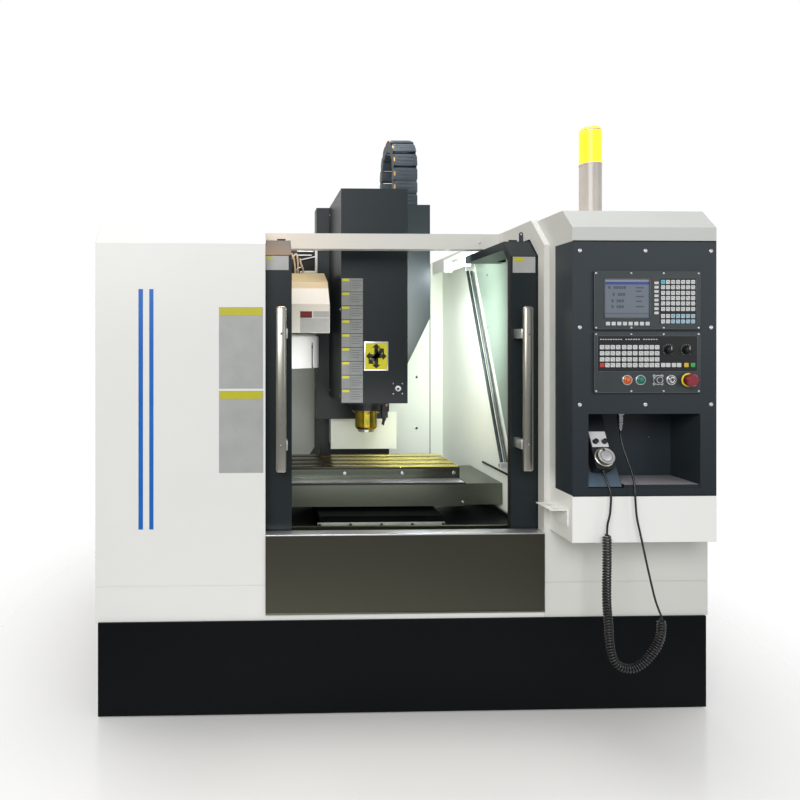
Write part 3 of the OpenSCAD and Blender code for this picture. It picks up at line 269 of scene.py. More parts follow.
def coat_of(name, tones, rough=0.36, patch=600, edge=1.6, ior=1.4, second=None):
    """Powder coated sheet steel: a slight orange peel, drawn coarser than the real 1 mm."""
    return finish("powder coated steel " + name, tones, rough, patch, 4, 0.02, edge=edge, ior=ior, second=second)


# ---- finishes
white_coat = coat_of("white", ("#e3e4e1", "#e9e9e6"))
# Right guard and top beam: the same white paint, made darker as painted shade
shaded_coat = coat_of("white in painted shade", ("#d3d4cf", "#d9dad5"))
# Pendant housing: one white paint, light grey above 0.84 m as painted shade and white below 0.78 m
cap_coat_with_painted_shade = coat_of("light grey", ("#c6c8c5", "#cdcfcc"), second=("#f4f5f2", 0.78, 0.84))
# The chamber's walls are cream and its pan below 0.55 m near black, a painted shade under the way cover; the drum's
# cover is cream, tan on its upper slope as painted warm light
cream_coat_with_painted_shade = coat_of("cream", ("#e4eae0", "#ecf0e6"), 0.4, 350, 1.2, 1.5, ("#0e1111", 0.548, 0.562))
cover_coat_with_painted_warm_light = coat_of("ivory", ("#bda578", "#c8b286"), 0.4, 200, 1.2, 1.5, ("#dedad0", 1.488, 1.494))
# The right side wall's sheet: the chamber's cream darkened as painted shade
wall_coat_painted_shade = coat_of("cream in painted shade", ("#84948a", "#90a096"), 0.42, 300, 0, 1.5)
# Textured enamel: dark, slightly rough, so highlights break up into a soft sheen
# The pendant's shell darkens below 1.45 m to its darkest below 0.75 m: painted shade towards its foot
charcoal_enamel_with_painted_shade = finish("textured enamel charcoal", ("#343b41", "#3a4147"), 0.42, 500, 2.5, 0.05, edge=1.6, ior=1.35,
                         second=("#252d33", 0.75, 1.45))
# The holder's facing is lighter blue grey below 0.8 m as painted light on its foot
holder_enamel_with_painted_light = finish("textured enamel blue grey", ("#1f262c", "#252c33"), 0.4, 300, 2.5, 0.05, edge=1,
                       second=("#4d6070", 0.802, 0.868))
door_enamel = finish("textured enamel black", ("#1b2225", "#21292c"), 0.4, 500, 2.5, 0.05, edge=1.6, ior=1.35)
navy_enamel = finish("textured enamel navy", ("#05090b", "#090e11"), 0.45, 700, 2.5, 0.04, edge=1.6, ior=1.2)
# The saddle is darkened almost to pure black as painted shade under the way cover
saddle_enamel_painted_shade = finish("oiled enamel black, darkened as painted shade", ("#030505", "#07090a"), 0.6, 120, 5, 0.1, edge=1.5, ior=1.12)
# The head's enamel darkens below 1.7 m, to its darkest below 1.1 m, as painted shade
head_enamel_with_painted_shade = finish("satin enamel graphite", ("#1e262a", "#242d31"), 0.4, 400, 3, 0.03, edge=1.6, ior=1.4,
                     second=("#131a1c", 1.1, 1.7))
shelf_enamel = finish("satin enamel light grey", ("#97949a", "#a19ea4"), 0.35, 300, 3, 0.02, edge=0.6)
# Brushed stainless sheet: fine scratches along the sheet, too fine to tell apart at a few metres; the front panel's and
# the covers' stainless is darkened to olive grey as a painted dark reflection
sheet_stainless = finish("brushed stainless sheet", ("#57564c", "#5e5d52"), 0.34, 900, 1.2, 0.004, 1,
                         stretch=(0.03, 1, 1), edge=0.8, rough_swing=0.03)
cover_stainless = finish("brushed stainless cover", ("#656a5f", "#70756a"), 0.34, 700, 1.2, 0.004, 0.95,
                         stretch=(0.03, 1, 1), edge=0.8, rough_swing=0.03, second=("#767b6e", 0.572, 0.655))
handle_stainless = finish("brushed stainless bar", ("#b4b3aa", "#bcbbb3"), 0.3, 300, 1, 0, 1,
                          stretch=(1, 1, 0.03), edge=2, rough_swing=0.03)
# Turned, ground and braided metal
strip_steel = finish("milled steel strip", ("#7c7e72", "#a2a498"), 0.35, 60, 2, 0.02, metallic=0.3, edge=0.6)
steel = finish("ground steel", ("#8f9396", "#a9adb0"), 0.25, 40, 1.5, metallic=1, edge=0.5)
aluminium = finish("satin anodised aluminium", ("#dcdce0", "#e6e6ea"), 0.34, 80, 1.5, metallic=0.9, edge=0.6)
hose_light = finish("braided stainless hose bright", ("#5c6264", "#787e80"), 0.36, 30, 2, 0.15, metallic=0.9)
hose_dark = finish("braided stainless hose dull", ("#343a3e", "#4a5156"), 0.4, 30, 2, 0.15, metallic=0.8)
chrome = finish("chrome plate", ("#c4c6c8", "#d0d2d4"), 0.1, 60, 3, 0, metallic=1, rough_swing=0.03)
# Painted casting: thick paint over a sanded cast surface, uneven over a few centimetres
casting = finish("painted cast iron", ("#14181a", "#1c2123"), 0.5, 90, 9, 0.25, edge=2.5)
# Scraped iron under a film of amber slideway oil: gold where the film is thick, bare on its upright sides
oiled_iron = finish("oiled cast iron", ("#c89a1c", "#7a6a30"), 0.2, 110, 5, 0.03, 0.75, 0.35, edge=0.6,
                    rough_swing=0.08, second=("#454940", 0.3, 0.7, "normal"))
# The oil on the table's lands turns dark brown towards the left: a painted shadow
oil_film_with_painted_shadow = finish("amber slideway oil", ("#c4ac00", "#ffec20"), 0.2, 90, 5, 0.02, 0.85, 0.4,
                  second=("#4c4222", -0.2, 0.12, "X"))
amber_steel = finish("oiled ground steel", ("#c8982c", "#5f7a2e"), 0.18, 34, 2, metallic=0.9, edge=0.5)
# Moulded ABS and polyamide: even colour, low sheen with a spark-eroded grain
black_abs = finish("moulded abs black", ("#101214", "#17191c"), 0.45, 80, 1.2, 0.03, edge=0.6)
yellow_ring = finish("moulded abs yellow", ("#f4da10", "#fbe52c"), 0.35)
chain_plastic = finish("moulded polyamide slate", ("#3b444a", "#475057"), 0.52, 50, 1.5, 0.03, edge=0.8, ior=1.3)
clip_plastic = finish("moulded polyamide orange", ("#d89a44", "#e8b25c"), 0.4, 30, 1.5, 0.02)
orange_button, green_button, red_mushroom = (
    finish("polished acrylic " + tone, tones, rough, relief=0, coat=0.5) for tone, tones, rough in (
        ("orange", ("#d8641c", "#e0702a"), 0.18), ("green", ("#1a7462", "#24806c"), 0.18),
        ("red", ("#7e1828", "#8f2030"), 0.2)))
cord_rubber = finish("extruded polyurethane black", ("#121315", "#1b1c1f"), 0.38, coat=0.2)
air_line = finish("extruded polyurethane buff", ("#d2b48c", "#e4d6c0"), 0.35)
gasket = finish("extruded rubber seal", ("#0d0e0f", "#151617"), 0.7, 60, 1.5, 0.05)
# Printed films, and keys of embossed sheet
blue_film, grey_film, steel_film, silver_film, yellow_film, black_film = (
    finish("printed vinyl " + tone, tones, rough, patch, 2, 0) for tone, tones, rough, patch in (
        ("blue", ("#0a5fb4", "#0f68c0"), 0.3, 80), ("grey", ("#a2a4a2", "#aeb0ae"), 0.35, 60),
        ("steel grey", ("#797d7c", "#848887"), 0.35, 60), ("silver", ("#cfd1d3", "#d9dbdd"), 0.3, 60),
        ("yellow", ("#b8b41c", "#c4be28"), 0.32, 60), ("black", ("#121212", "#1a1a1a"), 0.35, 60)))
display_ink = finish("display figures grey", ("#454d58", "#4b535e"), relief=0)
display_red = finish("unlit red display", ("#7c1c1a", "#8a2420"), 0.2, relief=0)
key_light, key_dark, key_cyan, key_blue, key_red, key_green, key_yellow = (
    finish("embossed polyester " + tone, tones) for tone, tones in (
        ("light grey", ("#c6caca", "#d4d8d8")), ("dark grey", ("#4b4f53", "#5a5e62")),
        ("cyan", ("#5fb4c8", "#78c4d4")), ("pale blue", ("#9cbccc", "#acc8d6")), ("red", ("#b83428", "#cc4436")),
        ("green", ("#2f9a52", "#43ad64")), ("yellow", ("#d8b02c", "#e6c046"))))
panel_overlay = finish("screen printed polyester charcoal", ("#30383b", "#363e41"), 0.36, 60, 1.5)
lens_amber = finish("moulded polycarbonate amber", ("#f0b414", "#f7c832"), 0.25, 30, 2, glow=("#ffcf1e", 1.6))
lens_white = finish("moulded polycarbonate opal", ("#b9b2ac", "#c6bfb9"), 0.3, 60, 2, coat=0.3)
lamp_tube = finish("opal lamp tube", ("#f4f6f4", "#fafcfa"), 0.3, 60, 2, 0, glow=("#f2faf2", 0.8))


def glass_of(name, tint, rough):
    """Clear sheet, slightly tinted, with a faint haze of scratches."""
    material, tree, shader, place = blank(name)
    haze = add(tree, "TexNoise", {"Vector": place, "Scale": 12, "Detail": 6})
    wire(tree, shader, {"Roughness": span_of(tree, haze.outputs["Fac"], 0, 1, rough, rough + 0.08),
                        "Base Color": colour(tint), "Transmission Weight": 0.85, "Alpha": 0.55})
    return material


def screen_of(name, foot, top):
    """Lit display between two heights in metres: a pale grey-blue field with darker bars at its foot and top."""
    material, tree, shader, place = blank(name)
    height = add(tree, "SeparateXYZ", {"Vector": place}).outputs["Z"]
    bands = add(tree, "ValToRGB", {"Fac": span_of(tree, height, foot, top)})
    bands.color_ramp.interpolation = "CONSTANT"
    stops = [(0, "#5f6873"), (0.09, "#4b545f"), (0.12, "#636c77"), (0.86, "#2c3f86"), (0.93, "#7d858e")]
    while len(bands.color_ramp.elements) < len(stops):
        bands.color_ramp.elements.new(0.5)
    for mark, (where, code) in zip(bands.color_ramp.elements, stops):
        mark.position, mark.color = where, colour(code)
    shade = bands.outputs["Color"]
    wire(tree, shader, {"Base Color": shade, "Emission Color": shade, "Emission Strength": 0.12, "Roughness": 0.3})
    return material


window_sheet = glass_of("clear polycarbonate sheet", "#c9d6dc", 0.04)
display_glass = screen_of("lit display", 1.339, 1.461)

# ---- curly cord of the handwheel
# Its line in millimetres: out of the gland, down to the coil, round the coil's turns and up to the plug
LEAD_IN = [(602.5, -151.4, 840.8), (603.3, -155.2, 834), (604.5, -162, 822), (606, -169.5, 808),
           (607.3, -176.5, 793), (608, -181, 777), (607.7, -182, 760), (604.5, -182, 718), (597, -182, 685),
           (595, -182, 655)]
CURL = [(x, -182, z) for x, z in ((595, 655), (595, 600), (595, 552), (594, 504), (594, 452), (596, 412), (600, 371),
    (602, 331), (607, 290), (618, 255), (642, 235), (674, 230), (706, 244), (732, 269), (755, 300), (768, 337),
    (770, 385))]
LEAD_OUT = [(770, -182, 385), (769, -182, 395), (761, -182, 415), (750, -182, 446), (738, -182, 494),
            (723, -182, 559), (707, -182, 632), (699, -182, 668), (690, -182, 713), (686, -181, 775),
            (690, -171, 806), (692, -154, 842), (689, -134, 880), (684, -116, 922), (682, -106, 958),
            (682, -106, 972)]
CORD, COIL, TURN = 6.5, 28, 9


def coiled(axis_points):
    """The cord's centre line wound round an axis; the first and last turns draw in to the axis."""
    axis = smooth_line(axis_points, 3)
    total = sum((b - a).length for a, b in zip(axis, axis[1:])) * 1000
    turns = round(total / TURN)
    count = turns * 14
    line, walked, index, side = [], 0, 0, Vector((0, -1, 0))
    for k in range(count + 1):
        goal = total * 0.001 * k / count
        while index < len(axis) - 2 and walked + (axis[index + 1] - axis[index]).length < goal:
            walked += (axis[index + 1] - axis[index]).length
            index += 1
        step = axis[index + 1] - axis[index]
        middle = axis[index] + step * min(1, (goal - walked) / step.length)
        ahead = step.normalized()
        side = (side - ahead * side.dot(ahead)).normalized()
        angle = 2 * math.pi * turns * k / count
        out = (COIL - CORD) / 2000 * min(1, k / 14, (count - k) / 14)
        line.append(middle + (side * math.cos(angle) + ahead.cross(side) * math.sin(angle)) * out)
    return line


lead_in, curl, lead_out = smooth_line(LEAD_IN, 4), coiled(CURL), smooth_line(LEAD_OUT, 6)
cord_line = lead_in + curl[1:-1] + lead_out
cord = piece("handwheel_cord", mesh_of("handwheel_cord", lambda bm: swept(bm, cord_line, CORD, 8), 80), cord_rubber)
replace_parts(cord, "cord_lead_in", "cord_curl", "cord_lead_out")

# ---- finishes of the solids
for material, names in (
        (white_coat, "left_guard work_lamp electrical_cabinet cabinet_door tool_carousel"),
        (shaded_coat, "right_guard top_beam"), (cream_coat_with_painted_shade, "chamber"), (cap_coat_with_painted_shade, "pendant_frame"),
        (cover_coat_with_painted_warm_light, "magazine_housing"), (navy_enamel, "base_plinth"), (charcoal_enamel_with_painted_shade, "pendant_shell"),
        (door_enamel, "left_door right_door"), (head_enamel_with_painted_shade, "head_cover"), (saddle_enamel_painted_shade, "saddle"),
        (casting, "bed column head_casting magazine_carriage"), (sheet_stainless, "front_panel"),
        (cover_stainless, "cover_wings way_cover"), (handle_stainless, "handwheel_dial"), (oiled_iron, "table"),
        (steel, "levelling_feet guide_rails spindle x_screw y_screw z_screw"), (chrome, "key_switch"),
        (black_abs, "handwheel_box axis_motors spindle_motor feed_dial speed_dial axis_knob step_knob"),
        (panel_overlay, "cnc_unit operator_panel"), (display_glass, "display_screen"),
        (window_sheet, "left_window right_window"), (lens_white, "signal_light_body"),
        (lens_amber, "signal_light_lens"), (orange_button, "orange_button"), (green_button, "green_button"),
        (red_mushroom, "estop_button")):
    for name in names.split():
        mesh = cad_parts[name].data
        mesh.materials.clear()
        mesh.materials.append(material)

# ---- repeated pieces
TURNS = {"-y": (90, 0, 0), "+y": (-90, 0, 0), "-x": (0, -90, 0), "-z": (180, 0, 0)}


def placing_tree():
    """Geometry nodes that set a sized copy of a piece on each point, turned as the point says."""
    tree = bpy.data.node_groups.new("pieces on points", "GeometryNodeTree")
    for label, kind in (("Points", "Geometry"), ("Piece", "Object"), ("Size", "Vector")):
        tree.interface.new_socket(label, in_out="INPUT", socket_type="NodeSocket" + kind)
    tree.interface.new_socket("Geometry", in_out="OUTPUT", socket_type="NodeSocketGeometry")
    given = tree.nodes.new("NodeGroupInput").outputs
    sample = add(tree, "ObjectInfo", {"Object": given["Piece"]})
    turn = add(tree, "InputNamedAttribute", {"Name": "turn"}, data_type="FLOAT_VECTOR")
    copies = add(tree, "InstanceOnPoints", {
        "Points": given["Points"], "Instance": sample.outputs["Geometry"], "Rotation": turn.outputs["Attribute"],
        "Scale": given["Size"]})
    solid = add(tree, "RealizeInstances", {"Geometry": copies.outputs["Instances"]})
    wire(tree, tree.nodes.new("NodeGroupOutput"), {"Geometry": solid.outputs["Geometry"]})
    return tree


PLACING = placing_tree()


def unit(name, build, smooth=40):
    """A mesh built round the machine's zero point and moved to the origin, to be copied."""
    mesh = mesh_of(name, build, smooth)
    mesh.transform(Matrix.Translation(-at(0, 0, 0)))
    return mesh


def placed(name, unit_mesh, places, material, body="machine", size=1.0, facing="-y"):
    """Copies of a unit mesh at places in millimetres, all facing one way or each with its own turn in degrees."""
    points = bpy.data.meshes.new(name + "_points")
    points.from_pydata([at(*p[:3]) for p in places], [], [])
    turn = points.attributes.new("turn", "FLOAT_VECTOR", "POINT")
    for i, p in enumerate(places):
        turn.data[i].vector = [math.radians(a) for a in (p[3] if len(p) > 3 else TURNS[facing])]
    field, sample = linked(name + "_points", points), linked(name + "_unit", unit_mesh)
    modifier = field.modifiers.new("pieces", "NODES")
    modifier.node_group = PLACING
    keys = {s.name: s.identifier for s in PLACING.interface.items_tree if s.in_out == "INPUT"}
    modifier[keys["Piece"]] = sample
    modifier[keys["Size"]] = size if isinstance(size, tuple) else (size,) * 3
    bpy.context.view_layer.update()
    mesh = bpy.data.meshes.new_from_object(field.evaluated_get(bpy.context.evaluated_depsgraph_get()))
    mesh.name = name
    for item in (field, sample):
        bpy.data.objects.remove(item)
    mesh.attributes.remove(mesh.attributes["turn"])
    return piece(name, mesh, material, body)


# A unit screw head of 1 mm radius: domed rim round a socket; a washer-faced hexagon head; a key's cap
socket_head = unit("socket_head", lambda bm: turned(bm, (0, 0, 0), UP, [
    (0, 0.22), (0.4, 0.22), (0.42, 0.6), (0.72, 0.6), (0.93, 0.45), (1, 0.2), (1, 0), (0, 0)], 20), 50)
hexagon_head = unit("hexagon_head", lambda bm: turned(bm, (0, 0, 0), UP, [
    (0, 0.75), (0.8, 0.75), (0.98, 0.6), (1, 0.02), (0, 0)], 6), 30)
key_cap = unit("key_cap", lambda bm: block(bm, (-0.5, 0.5), (-0.5, 0.5), (0, 1), 0.12), 50)


def screws(name, places, material, size, body="machine", facing="-y"):
    """Socket heads; size is their radius, or their radii and height."""
    return placed(name, socket_head, places, material, body, size, facing)


def panels(name, blocks, material, body="machine", soft=0.0):
    """Several blocks as one piece; each is (x limits, y limits, z limits)."""
    def build(bm):
        for x, y, z in blocks:
            block(bm, x, y, z, soft)
    return shape(name, build, material, body, 50)


def plates(name, fields, y, material, body="machine", thick=0.5):
    """Thin sheets on a face that looks to the front, given as (x0, x1, z0, z1)."""
    return panels(name, [((a, b), (y - thick, y + 0.05), (c, d)) for a, b, c, d in fields], material, body)


# ---- guard
plates("guard_stripes", [(-905.7, -890.6, 629, 1439.5), (-869.5, -855.4, 629, 1439.6)], 0, blue_film)
plates("guard_plates", [(-635, -486, 1103, 1379), (-635, -485, 818, 1096)], 0, grey_film)
plates("guard_plate_heads", [(-632, -489, 1352, 1376), (-632, -488, 1069, 1093)], -0.5, yellow_film)
screws("beam_screw", [(399, 400, 1661), (-399, 400, 1661)], chrome, 4.6)
# Doors: label plates, rubber seals on the meeting edges, and pull bars on two bright lugs each with their fixings
for side, word, inner, label, head in (
        (-1, "left", 408, (-477, -396, 1511, 1560), (-475, -452, 1545, 1557)),
        (1, "right", 399, (391, 471, 1504, 1560), (394, 429, 1545, 1557))):
    body, name = word + "_door", word + "_handle"
    plates("door_plates_" + word, [label], 53, grey_film, body)
    plates("door_plate_heads_" + word, [head], 52.5, yellow_film, body)
    panels(body + "_seal", [(sorted((side * 384.6, side * 391)), (56, 80), (600, 1560))], gasket, body, 1.5)
    bar = panels(name + "_bar", [(sorted((side * inner, side * (inner + 35))), (-22, -2.5), (820, 1382))],
                 handle_stainless, body, 8)
    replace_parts(bar, name)
    panels(name + "_lugs", [(sorted((side * (inner - 5), side * (inner + 12))), (-12, 52.8), (z, z + 33))
                            for z in (895, 1273)], aluminium, body, 1.2)
    screws(name + "_screws", [(side * (inner + 17.5), -22, z) for z in (911.5, 1289.5)], steel, 4.5, body)
# Finger tab on the right door's top
TAB_X, TAB_Y, TAB_Z = 448.5, 117, 1650
rim = [round_about(7.5, a, TAB_X, TAB_Z) for a in range(0, 181, 20)]
shape("door_tab", lambda bm: drawn(bm, [(x, TAB_Y, z) for x, z in [(456, 1622), *rim, (441, 1622)]], (0, 3, 0)),
      charcoal_enamel_with_painted_shade, "right_door", 40)
screws("door_tab_eye", [(TAB_X, TAB_Y, TAB_Z - 1)], aluminium, 3.2, "right_door")
# Bright nosing where the front panel folds into the sill
panels("sill_nosing", [((-478, 478), (-8, 44), (604.5, 609))], aluminium, soft=1.2)
panels("front_panel_hem", [((-478, 478), (-8.5, -5.5), (338, 344))], cover_stainless, soft=0.8)

# ---- pendant
bolts = [(x, -157, z) for x in (520.5, 733, 947) for z in (1552.5, 1307.5, 1061) if (x, z) != (733, 1307.5)]
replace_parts(screws("pendant_bolts", bolts, aluminium, 6.8), "panel_screws")
# Rows of plain blocks on the display, as figures look from a few metres
rows = [(x0 + 8.4 * k, x0 + 8.4 * k + 6.4, z - 4.5, z + 4.5) for x0, count, z in
        ((610, 7, 1434.6), (624, 5, 1412.8), (620, 5, 1392), (620, 5, 1373.3)) for k in range(count) if k != 1]
rows += [(699, 699 + wide, z - 2, z + 2) for wide, z in ((26, 1434), (18, 1423), (26, 1406), (20, 1391), (26, 1374))]
plates("display_rows", rows, PANEL_Y + 1.5, display_ink, thick=0.3)
screws("panel_fixings", [(x, PANEL_Y, z) for x in (569.5, 683, 788, 901.5) for z in (1480, 1306.5, 1286, 1104.5)],
       aluminium, 3.3)
# Thin raised frames just inside x and z limits on the pendant's front
for name, x, z, wide, proud in (
        ("screen_frame", (595, 745), (1336, 1464), 3, 1.8),
        ("unit_border", (563.5, 907.5), (1301.5, 1485.5), 1.8, 0.9),
        ("operator_border", (563.5, 907.5), (1099.5, 1291.5), 1.8, 0.9),
        ("key_field_border", (773, 896), (1315, 1466), 1.8, 0.7),
        ("mode_field_border", (573, 899), (1166, 1282), 1.8, 0.7)):
    y = (PANEL_Y - proud, PANEL_Y + 0.5)
    panels(name, [(x, y, (z[0], z[0] + wide)), (x, y, (z[1] - wide, z[1])), ((x[0], x[0] + wide), y, z),
                  ((x[1] - wide, x[1]), y, z)], key_dark, soft=0.5)
lathe("alarm_lamp", (754.5, PANEL_Y, 1455), [(0, 2.6), (2, 2.3), (3.2, 1.2), (3.6, 0), (0, 0)], 24, red_mushroom,
      smooth=50)
plates("key_fields", [(776, 893, 1318, 1463), (576, 896, 1169, 1279)], PANEL_Y, black_abs, thick=0.8)
KEY_Y, LOW_Z = PANEL_Y - 0.8, 1187.5
letters = [(784.8 + 16.27 * c, KEY_Y, z) for c in range(7)
           for z in (1452.4, 1435.5, 1417.3, 1400.7, 1383.8, 1366, 1343.6, 1326.4)]
pale = [p for p in letters if p[2] < 1345 and p[0] > 810]
groups = (588, 605.2, 622.4, 639.7, 659.1, 676.9, 694.7, 714.1, 731.4, 748.7, 766)
modes = [(x, KEY_Y, z) for x in groups for z in (1244.5, 1225.1, 1205.7, LOW_Z)]
for name, places, material, size in (
        ("letter_keys", [p for p in letters[1:] if p not in pale], key_light, (12.6, 12.8, 2.2)),
        ("cursor_keys", pale, key_blue, (12.6, 12.8, 2.2)), ("first_key", letters[:1], key_cyan, (13.4, 13.4, 2.2)),
        ("soft_keys", [(607 + 18.3 * i, PANEL_Y, 1319.5) for i in range(8)], key_light, (13, 11.5, 2.4)),
        ("menu_keys", [(764, PANEL_Y, 1353.5 + 13.66 * i) for i in range(8)], key_light, (13.5, 8.5, 2.4)),
        ("mode_keys", [p for p in modes if p[0] != 588 or p[2] > 1190], key_light, (14.4, 13.6, 1.6)),
        ("mode_keys_low", [(x, KEY_Y, LOW_Z) for x in (785.7, 801.9, 820.5, 837)], key_light, (14, 13.4, 1.6)),
        ("key_red_one", [(588, KEY_Y, LOW_Z)], key_red, (14.4, 13.6, 1.6)),
        ("key_yellow_one", [(861.1, KEY_Y, LOW_Z)], key_yellow, (14, 13.4, 1.6)),
        ("key_green_one", [(882.3, KEY_Y, LOW_Z)], key_green, (14, 13.4, 1.6)),
        ("status_marks", [(584.2 + 8.2 * i, KEY_Y, 1269.3) for i in range(23) if i not in (9, 16)], key_light,
         (5.2, 3, 0.8))):
    keys = placed(name, key_cap, places, material, size=size)
    if name == "letter_keys":
        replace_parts(keys, "key_sheets")
# Plain strokes on the keys, short and long in turn, with no lettering
for name, caps, top in (("letter_marks", letters, 3), ("mode_marks", modes, 2.4)):
    for part, (wide, dx, dz) in enumerate(((5.2, -1.6, 1.6), (3, 2.4, -2.6))):
        placed(f"{name}_{part}", key_cap, [(x + dx, PANEL_Y - top, z + dz) for x, _, z in caps], key_dark,
               size=(wide, 1.5, 0.15))
# The two dials with their round scales
DIALS, DIAL_Z = (("feed_dial", 803), ("speed_dial", 862)), 1236
ticks = [(x, KEY_Y, z, (90, 90 - a, 0)) for _, cx in DIALS for a in range(-50, 231, 20)
         for x, z in [round_about(17.5, a, cx, DIAL_Z)]]
placed("dial_ticks", key_cap, ticks, grey_film, size=(1.1, 3.4, 0.5))
for body, cx in DIALS:
    lathe(body + "_grip", (cx, PANEL_Y - 14, DIAL_Z), [
        (0, 3.2), (9.5, 3), (10.6, 2.2), (11.2, 0), (12.4, -13), (0, -13)], 36, black_abs, body)
    panels(body + "_mark", [((cx - 0.9, cx + 0.9), (PANEL_Y - 17.6, PANEL_Y - 16.9), (DIAL_Z, DIAL_Z + 11))],
           key_light, body)
# Push buttons, key switch, emergency stop and data socket in one row
ROW_Z, ORANGE_X, GREEN_X, SOCKET_X, KEY_X, STOP_X = 1140, 668, 711, 769, 811, 865


def ring_of(name, x, inner, outer, depth, material, body="machine", y=PANEL_Y, soft=1.2):
    """A ring with eased edges in the row of buttons."""
    lathe(name, (x, y, ROW_Z), [
        (inner, 0), (outer, 0), (outer, depth - soft), (outer - soft, depth), (inner + soft, depth),
        (inner, depth - soft)], 44, material, body, closed=True, smooth=50)


for name, x in (("orange", ORANGE_X), ("green", GREEN_X), ("key", KEY_X)):
    ring_of(name + "_bezel", x, 12.4, 16.4, 6, aluminium)
ring_of("estop_ring", STOP_X, 12.6, 22, 4.6, yellow_ring, soft=0.8)
ring_of("estop_collar", STOP_X, 12.5, 16.5, 6.5, black_abs)
for name, x, material in (("orange", ORANGE_X, orange_button), ("green", GREEN_X, green_button)):
    lathe(name + "_cap", (x, PANEL_Y - 9, ROW_Z), [
        (0, 1.2), (6, 1.1), (10, 0.6), (11.6, -0.6), (11.9, -6), (0, -6)], 40, material, name + "_button")
    ring_of(name + "_cap_groove", x, 7, 8.4, 0.5, black_film, name + "_button", PANEL_Y - 9.7, 0.2)
lathe("estop_dome", (STOP_X, PANEL_Y - 31, ROW_Z), [
    (0, -0.1), (8, -0.4), (13, -1.1), (16.6, -3), (18.6, -6.5), (19.3, -10.5), (19.3, -16.5), (0, -16.5)], 48,
    red_mushroom, "estop_button")
ring_of("key_barrel", KEY_X, 4.6, 11.4, 10.5, chrome, "key_switch", soft=0.8)
panels("key_slot", [((KEY_X - 0.8, KEY_X + 0.8), (PANEL_Y - 9.3, PANEL_Y - 8), (ROW_Z - 6, ROW_Z + 6))], black_film,
       "key_switch")
LOBES = [(SOCKET_X + a, ROW_Z + b) for a in (-12.6, 12.6) for b in (-12.6, 12.6)]


def data_socket(bm):
    turned(bm, (SOCKET_X, PANEL_Y, ROW_Z), OUT, [
        (0, 7), (8.6, 7), (8.6, 12), (10, 12), (10.4, 11.5), (10.4, 3.2), (15.4, 3.2), (15.8, 2.7), (15.8, 0),
        (0, 0)], 40)
    for x, z in LOBES:
        turned(bm, (x, PANEL_Y, z), OUT, [(0, 2.4), (4.2, 2.4), (4.6, 1.9), (4.6, 0), (0, 0)], 20)


shape("data_socket", data_socket, aluminium)
screws("data_socket_screws", [(x, PANEL_Y - 2.4, z) for x, z in LOBES], steel, 2.4)
# Niche: shelf, a thin facing on the slanted holder, lighter blue grey at its foot as painted light, the cord's plug and
# one fixing
panels("niche_shelf", [((669, 911), (-152, -12), (803.4, 804.8))], shelf_enamel, soft=0.5)
LEAN = math.radians(29)
shape("holder_facing", lambda bm: drawn(bm, [
    (x, -151.6 + math.tan(LEAN) * (z - 796), z) for x, z in ((549, 797), (661, 797), (661, 1000), (549, 1000))],
    (0, 0.5, 0)), holder_enamel_with_painted_light, smooth=40)
plug = lathe("cord_plug_turned", (682, -106, 972), [
    (0, 0), (4.6, 0), (5.4, 1), (6.9, 8), (6.9, 19), (9.2, 20), (9.4, 21), (9.4, 26), (8.5, 27), (8.5, 31), (9.4, 32),
    (9.4, 45), (8.7, 46), (8.7, 50), (13.1, 51), (13.4, 52), (13.4, 58.6), (0, 58.6)], 36, chrome, axis=UP, smooth=30)
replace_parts(plug, "cord_plug")
screws("niche_screw", [(838, -9, 935)], steel, 3)
# Seam between the pendant's shell and its light housing
panels("pendant_seam", [((498, 965), (-158.2, -156.5), z) for z in ((767.5, 771.5), (1582, 1585.5))], gasket, soft=0.4)
lathe("hook_knob", (470, -60, 715), [(0, 0), (7, 0), (9, 2), (9, 12), (7, 14), (0, 14)], 24, black_abs, axis=(0, 0, -1))

# ---- handwheel box
wheel_frame = (Matrix.Translation(at(602.5, -151, 796)) @ Matrix.Rotation(-LEAN, 4, "X")
               @ Matrix.Translation((0, -0.02205, 0.112)) @ Matrix.Translation(-at(0, 0, 0)))
WHEEL = (0, -42, -29)


def on_box(*given, **more):
    """One revolved piece, given in the box's own frame."""
    lathe(*given, smooth=40, **more).data.transform(wheel_frame)


shape("wheel_box_plate", lambda bm: block(bm, (-27, 27), (-22.9, -21.9), (7, 60), 2), silver_film,
      smooth=40).data.transform(wheel_frame)
on_box("wheel_box_scale", (0, -26, -29), [(24, -4), (30.8, -4), (30.8, 0), (29.8, 0.8), (24, 0.8)], 60,
       handle_stainless, closed=True)
on_box("wheel_rim", WHEEL, [
    (0, 0.6), (15, 0.5), (18.5, -0.4), (21, 0.3), (25.4, 0.2), (27, -1.4), (27, -4.5), (25.5, -6), (25.5, -8),
    (27, -9.5), (27, -13), (0, -13)], 64, aluminium, "handwheel_dial")
on_box("wheel_groove", WHEEL, [(25.3, -5.6), (26.3, -5.6), (26.3, -8.4), (25.3, -8.4)], 64, black_film,
       "handwheel_dial", closed=True)
on_box("wheel_spinner", (-8, -42, -11), [
    (0, 6.9), (3.2, 6.6), (5, 5.2), (5.6, 3), (4.6, 0.8), (4.6, 0), (0, 0)], 28, black_abs, "handwheel_dial")
for x, body in ((-15, "axis_knob"), (15, "step_knob")):
    on_box(body + "_grip", (x, -22, 25), [
        (0, 13.6), (4.5, 13.4), (6.2, 12.4), (6.8, 3), (8.2, 2), (8.4, 0.4), (0, 0.4)], 28, black_abs, body)
on_box("wheel_box_gland", (0, 0, -65), [(8.6, -1), (8.6, 2), (7.4, 3), (5.6, 7.8), (3.6, 7.9), (3.6, -1)], 24,
       black_abs, axis=(0, 0, -1), closed=True)

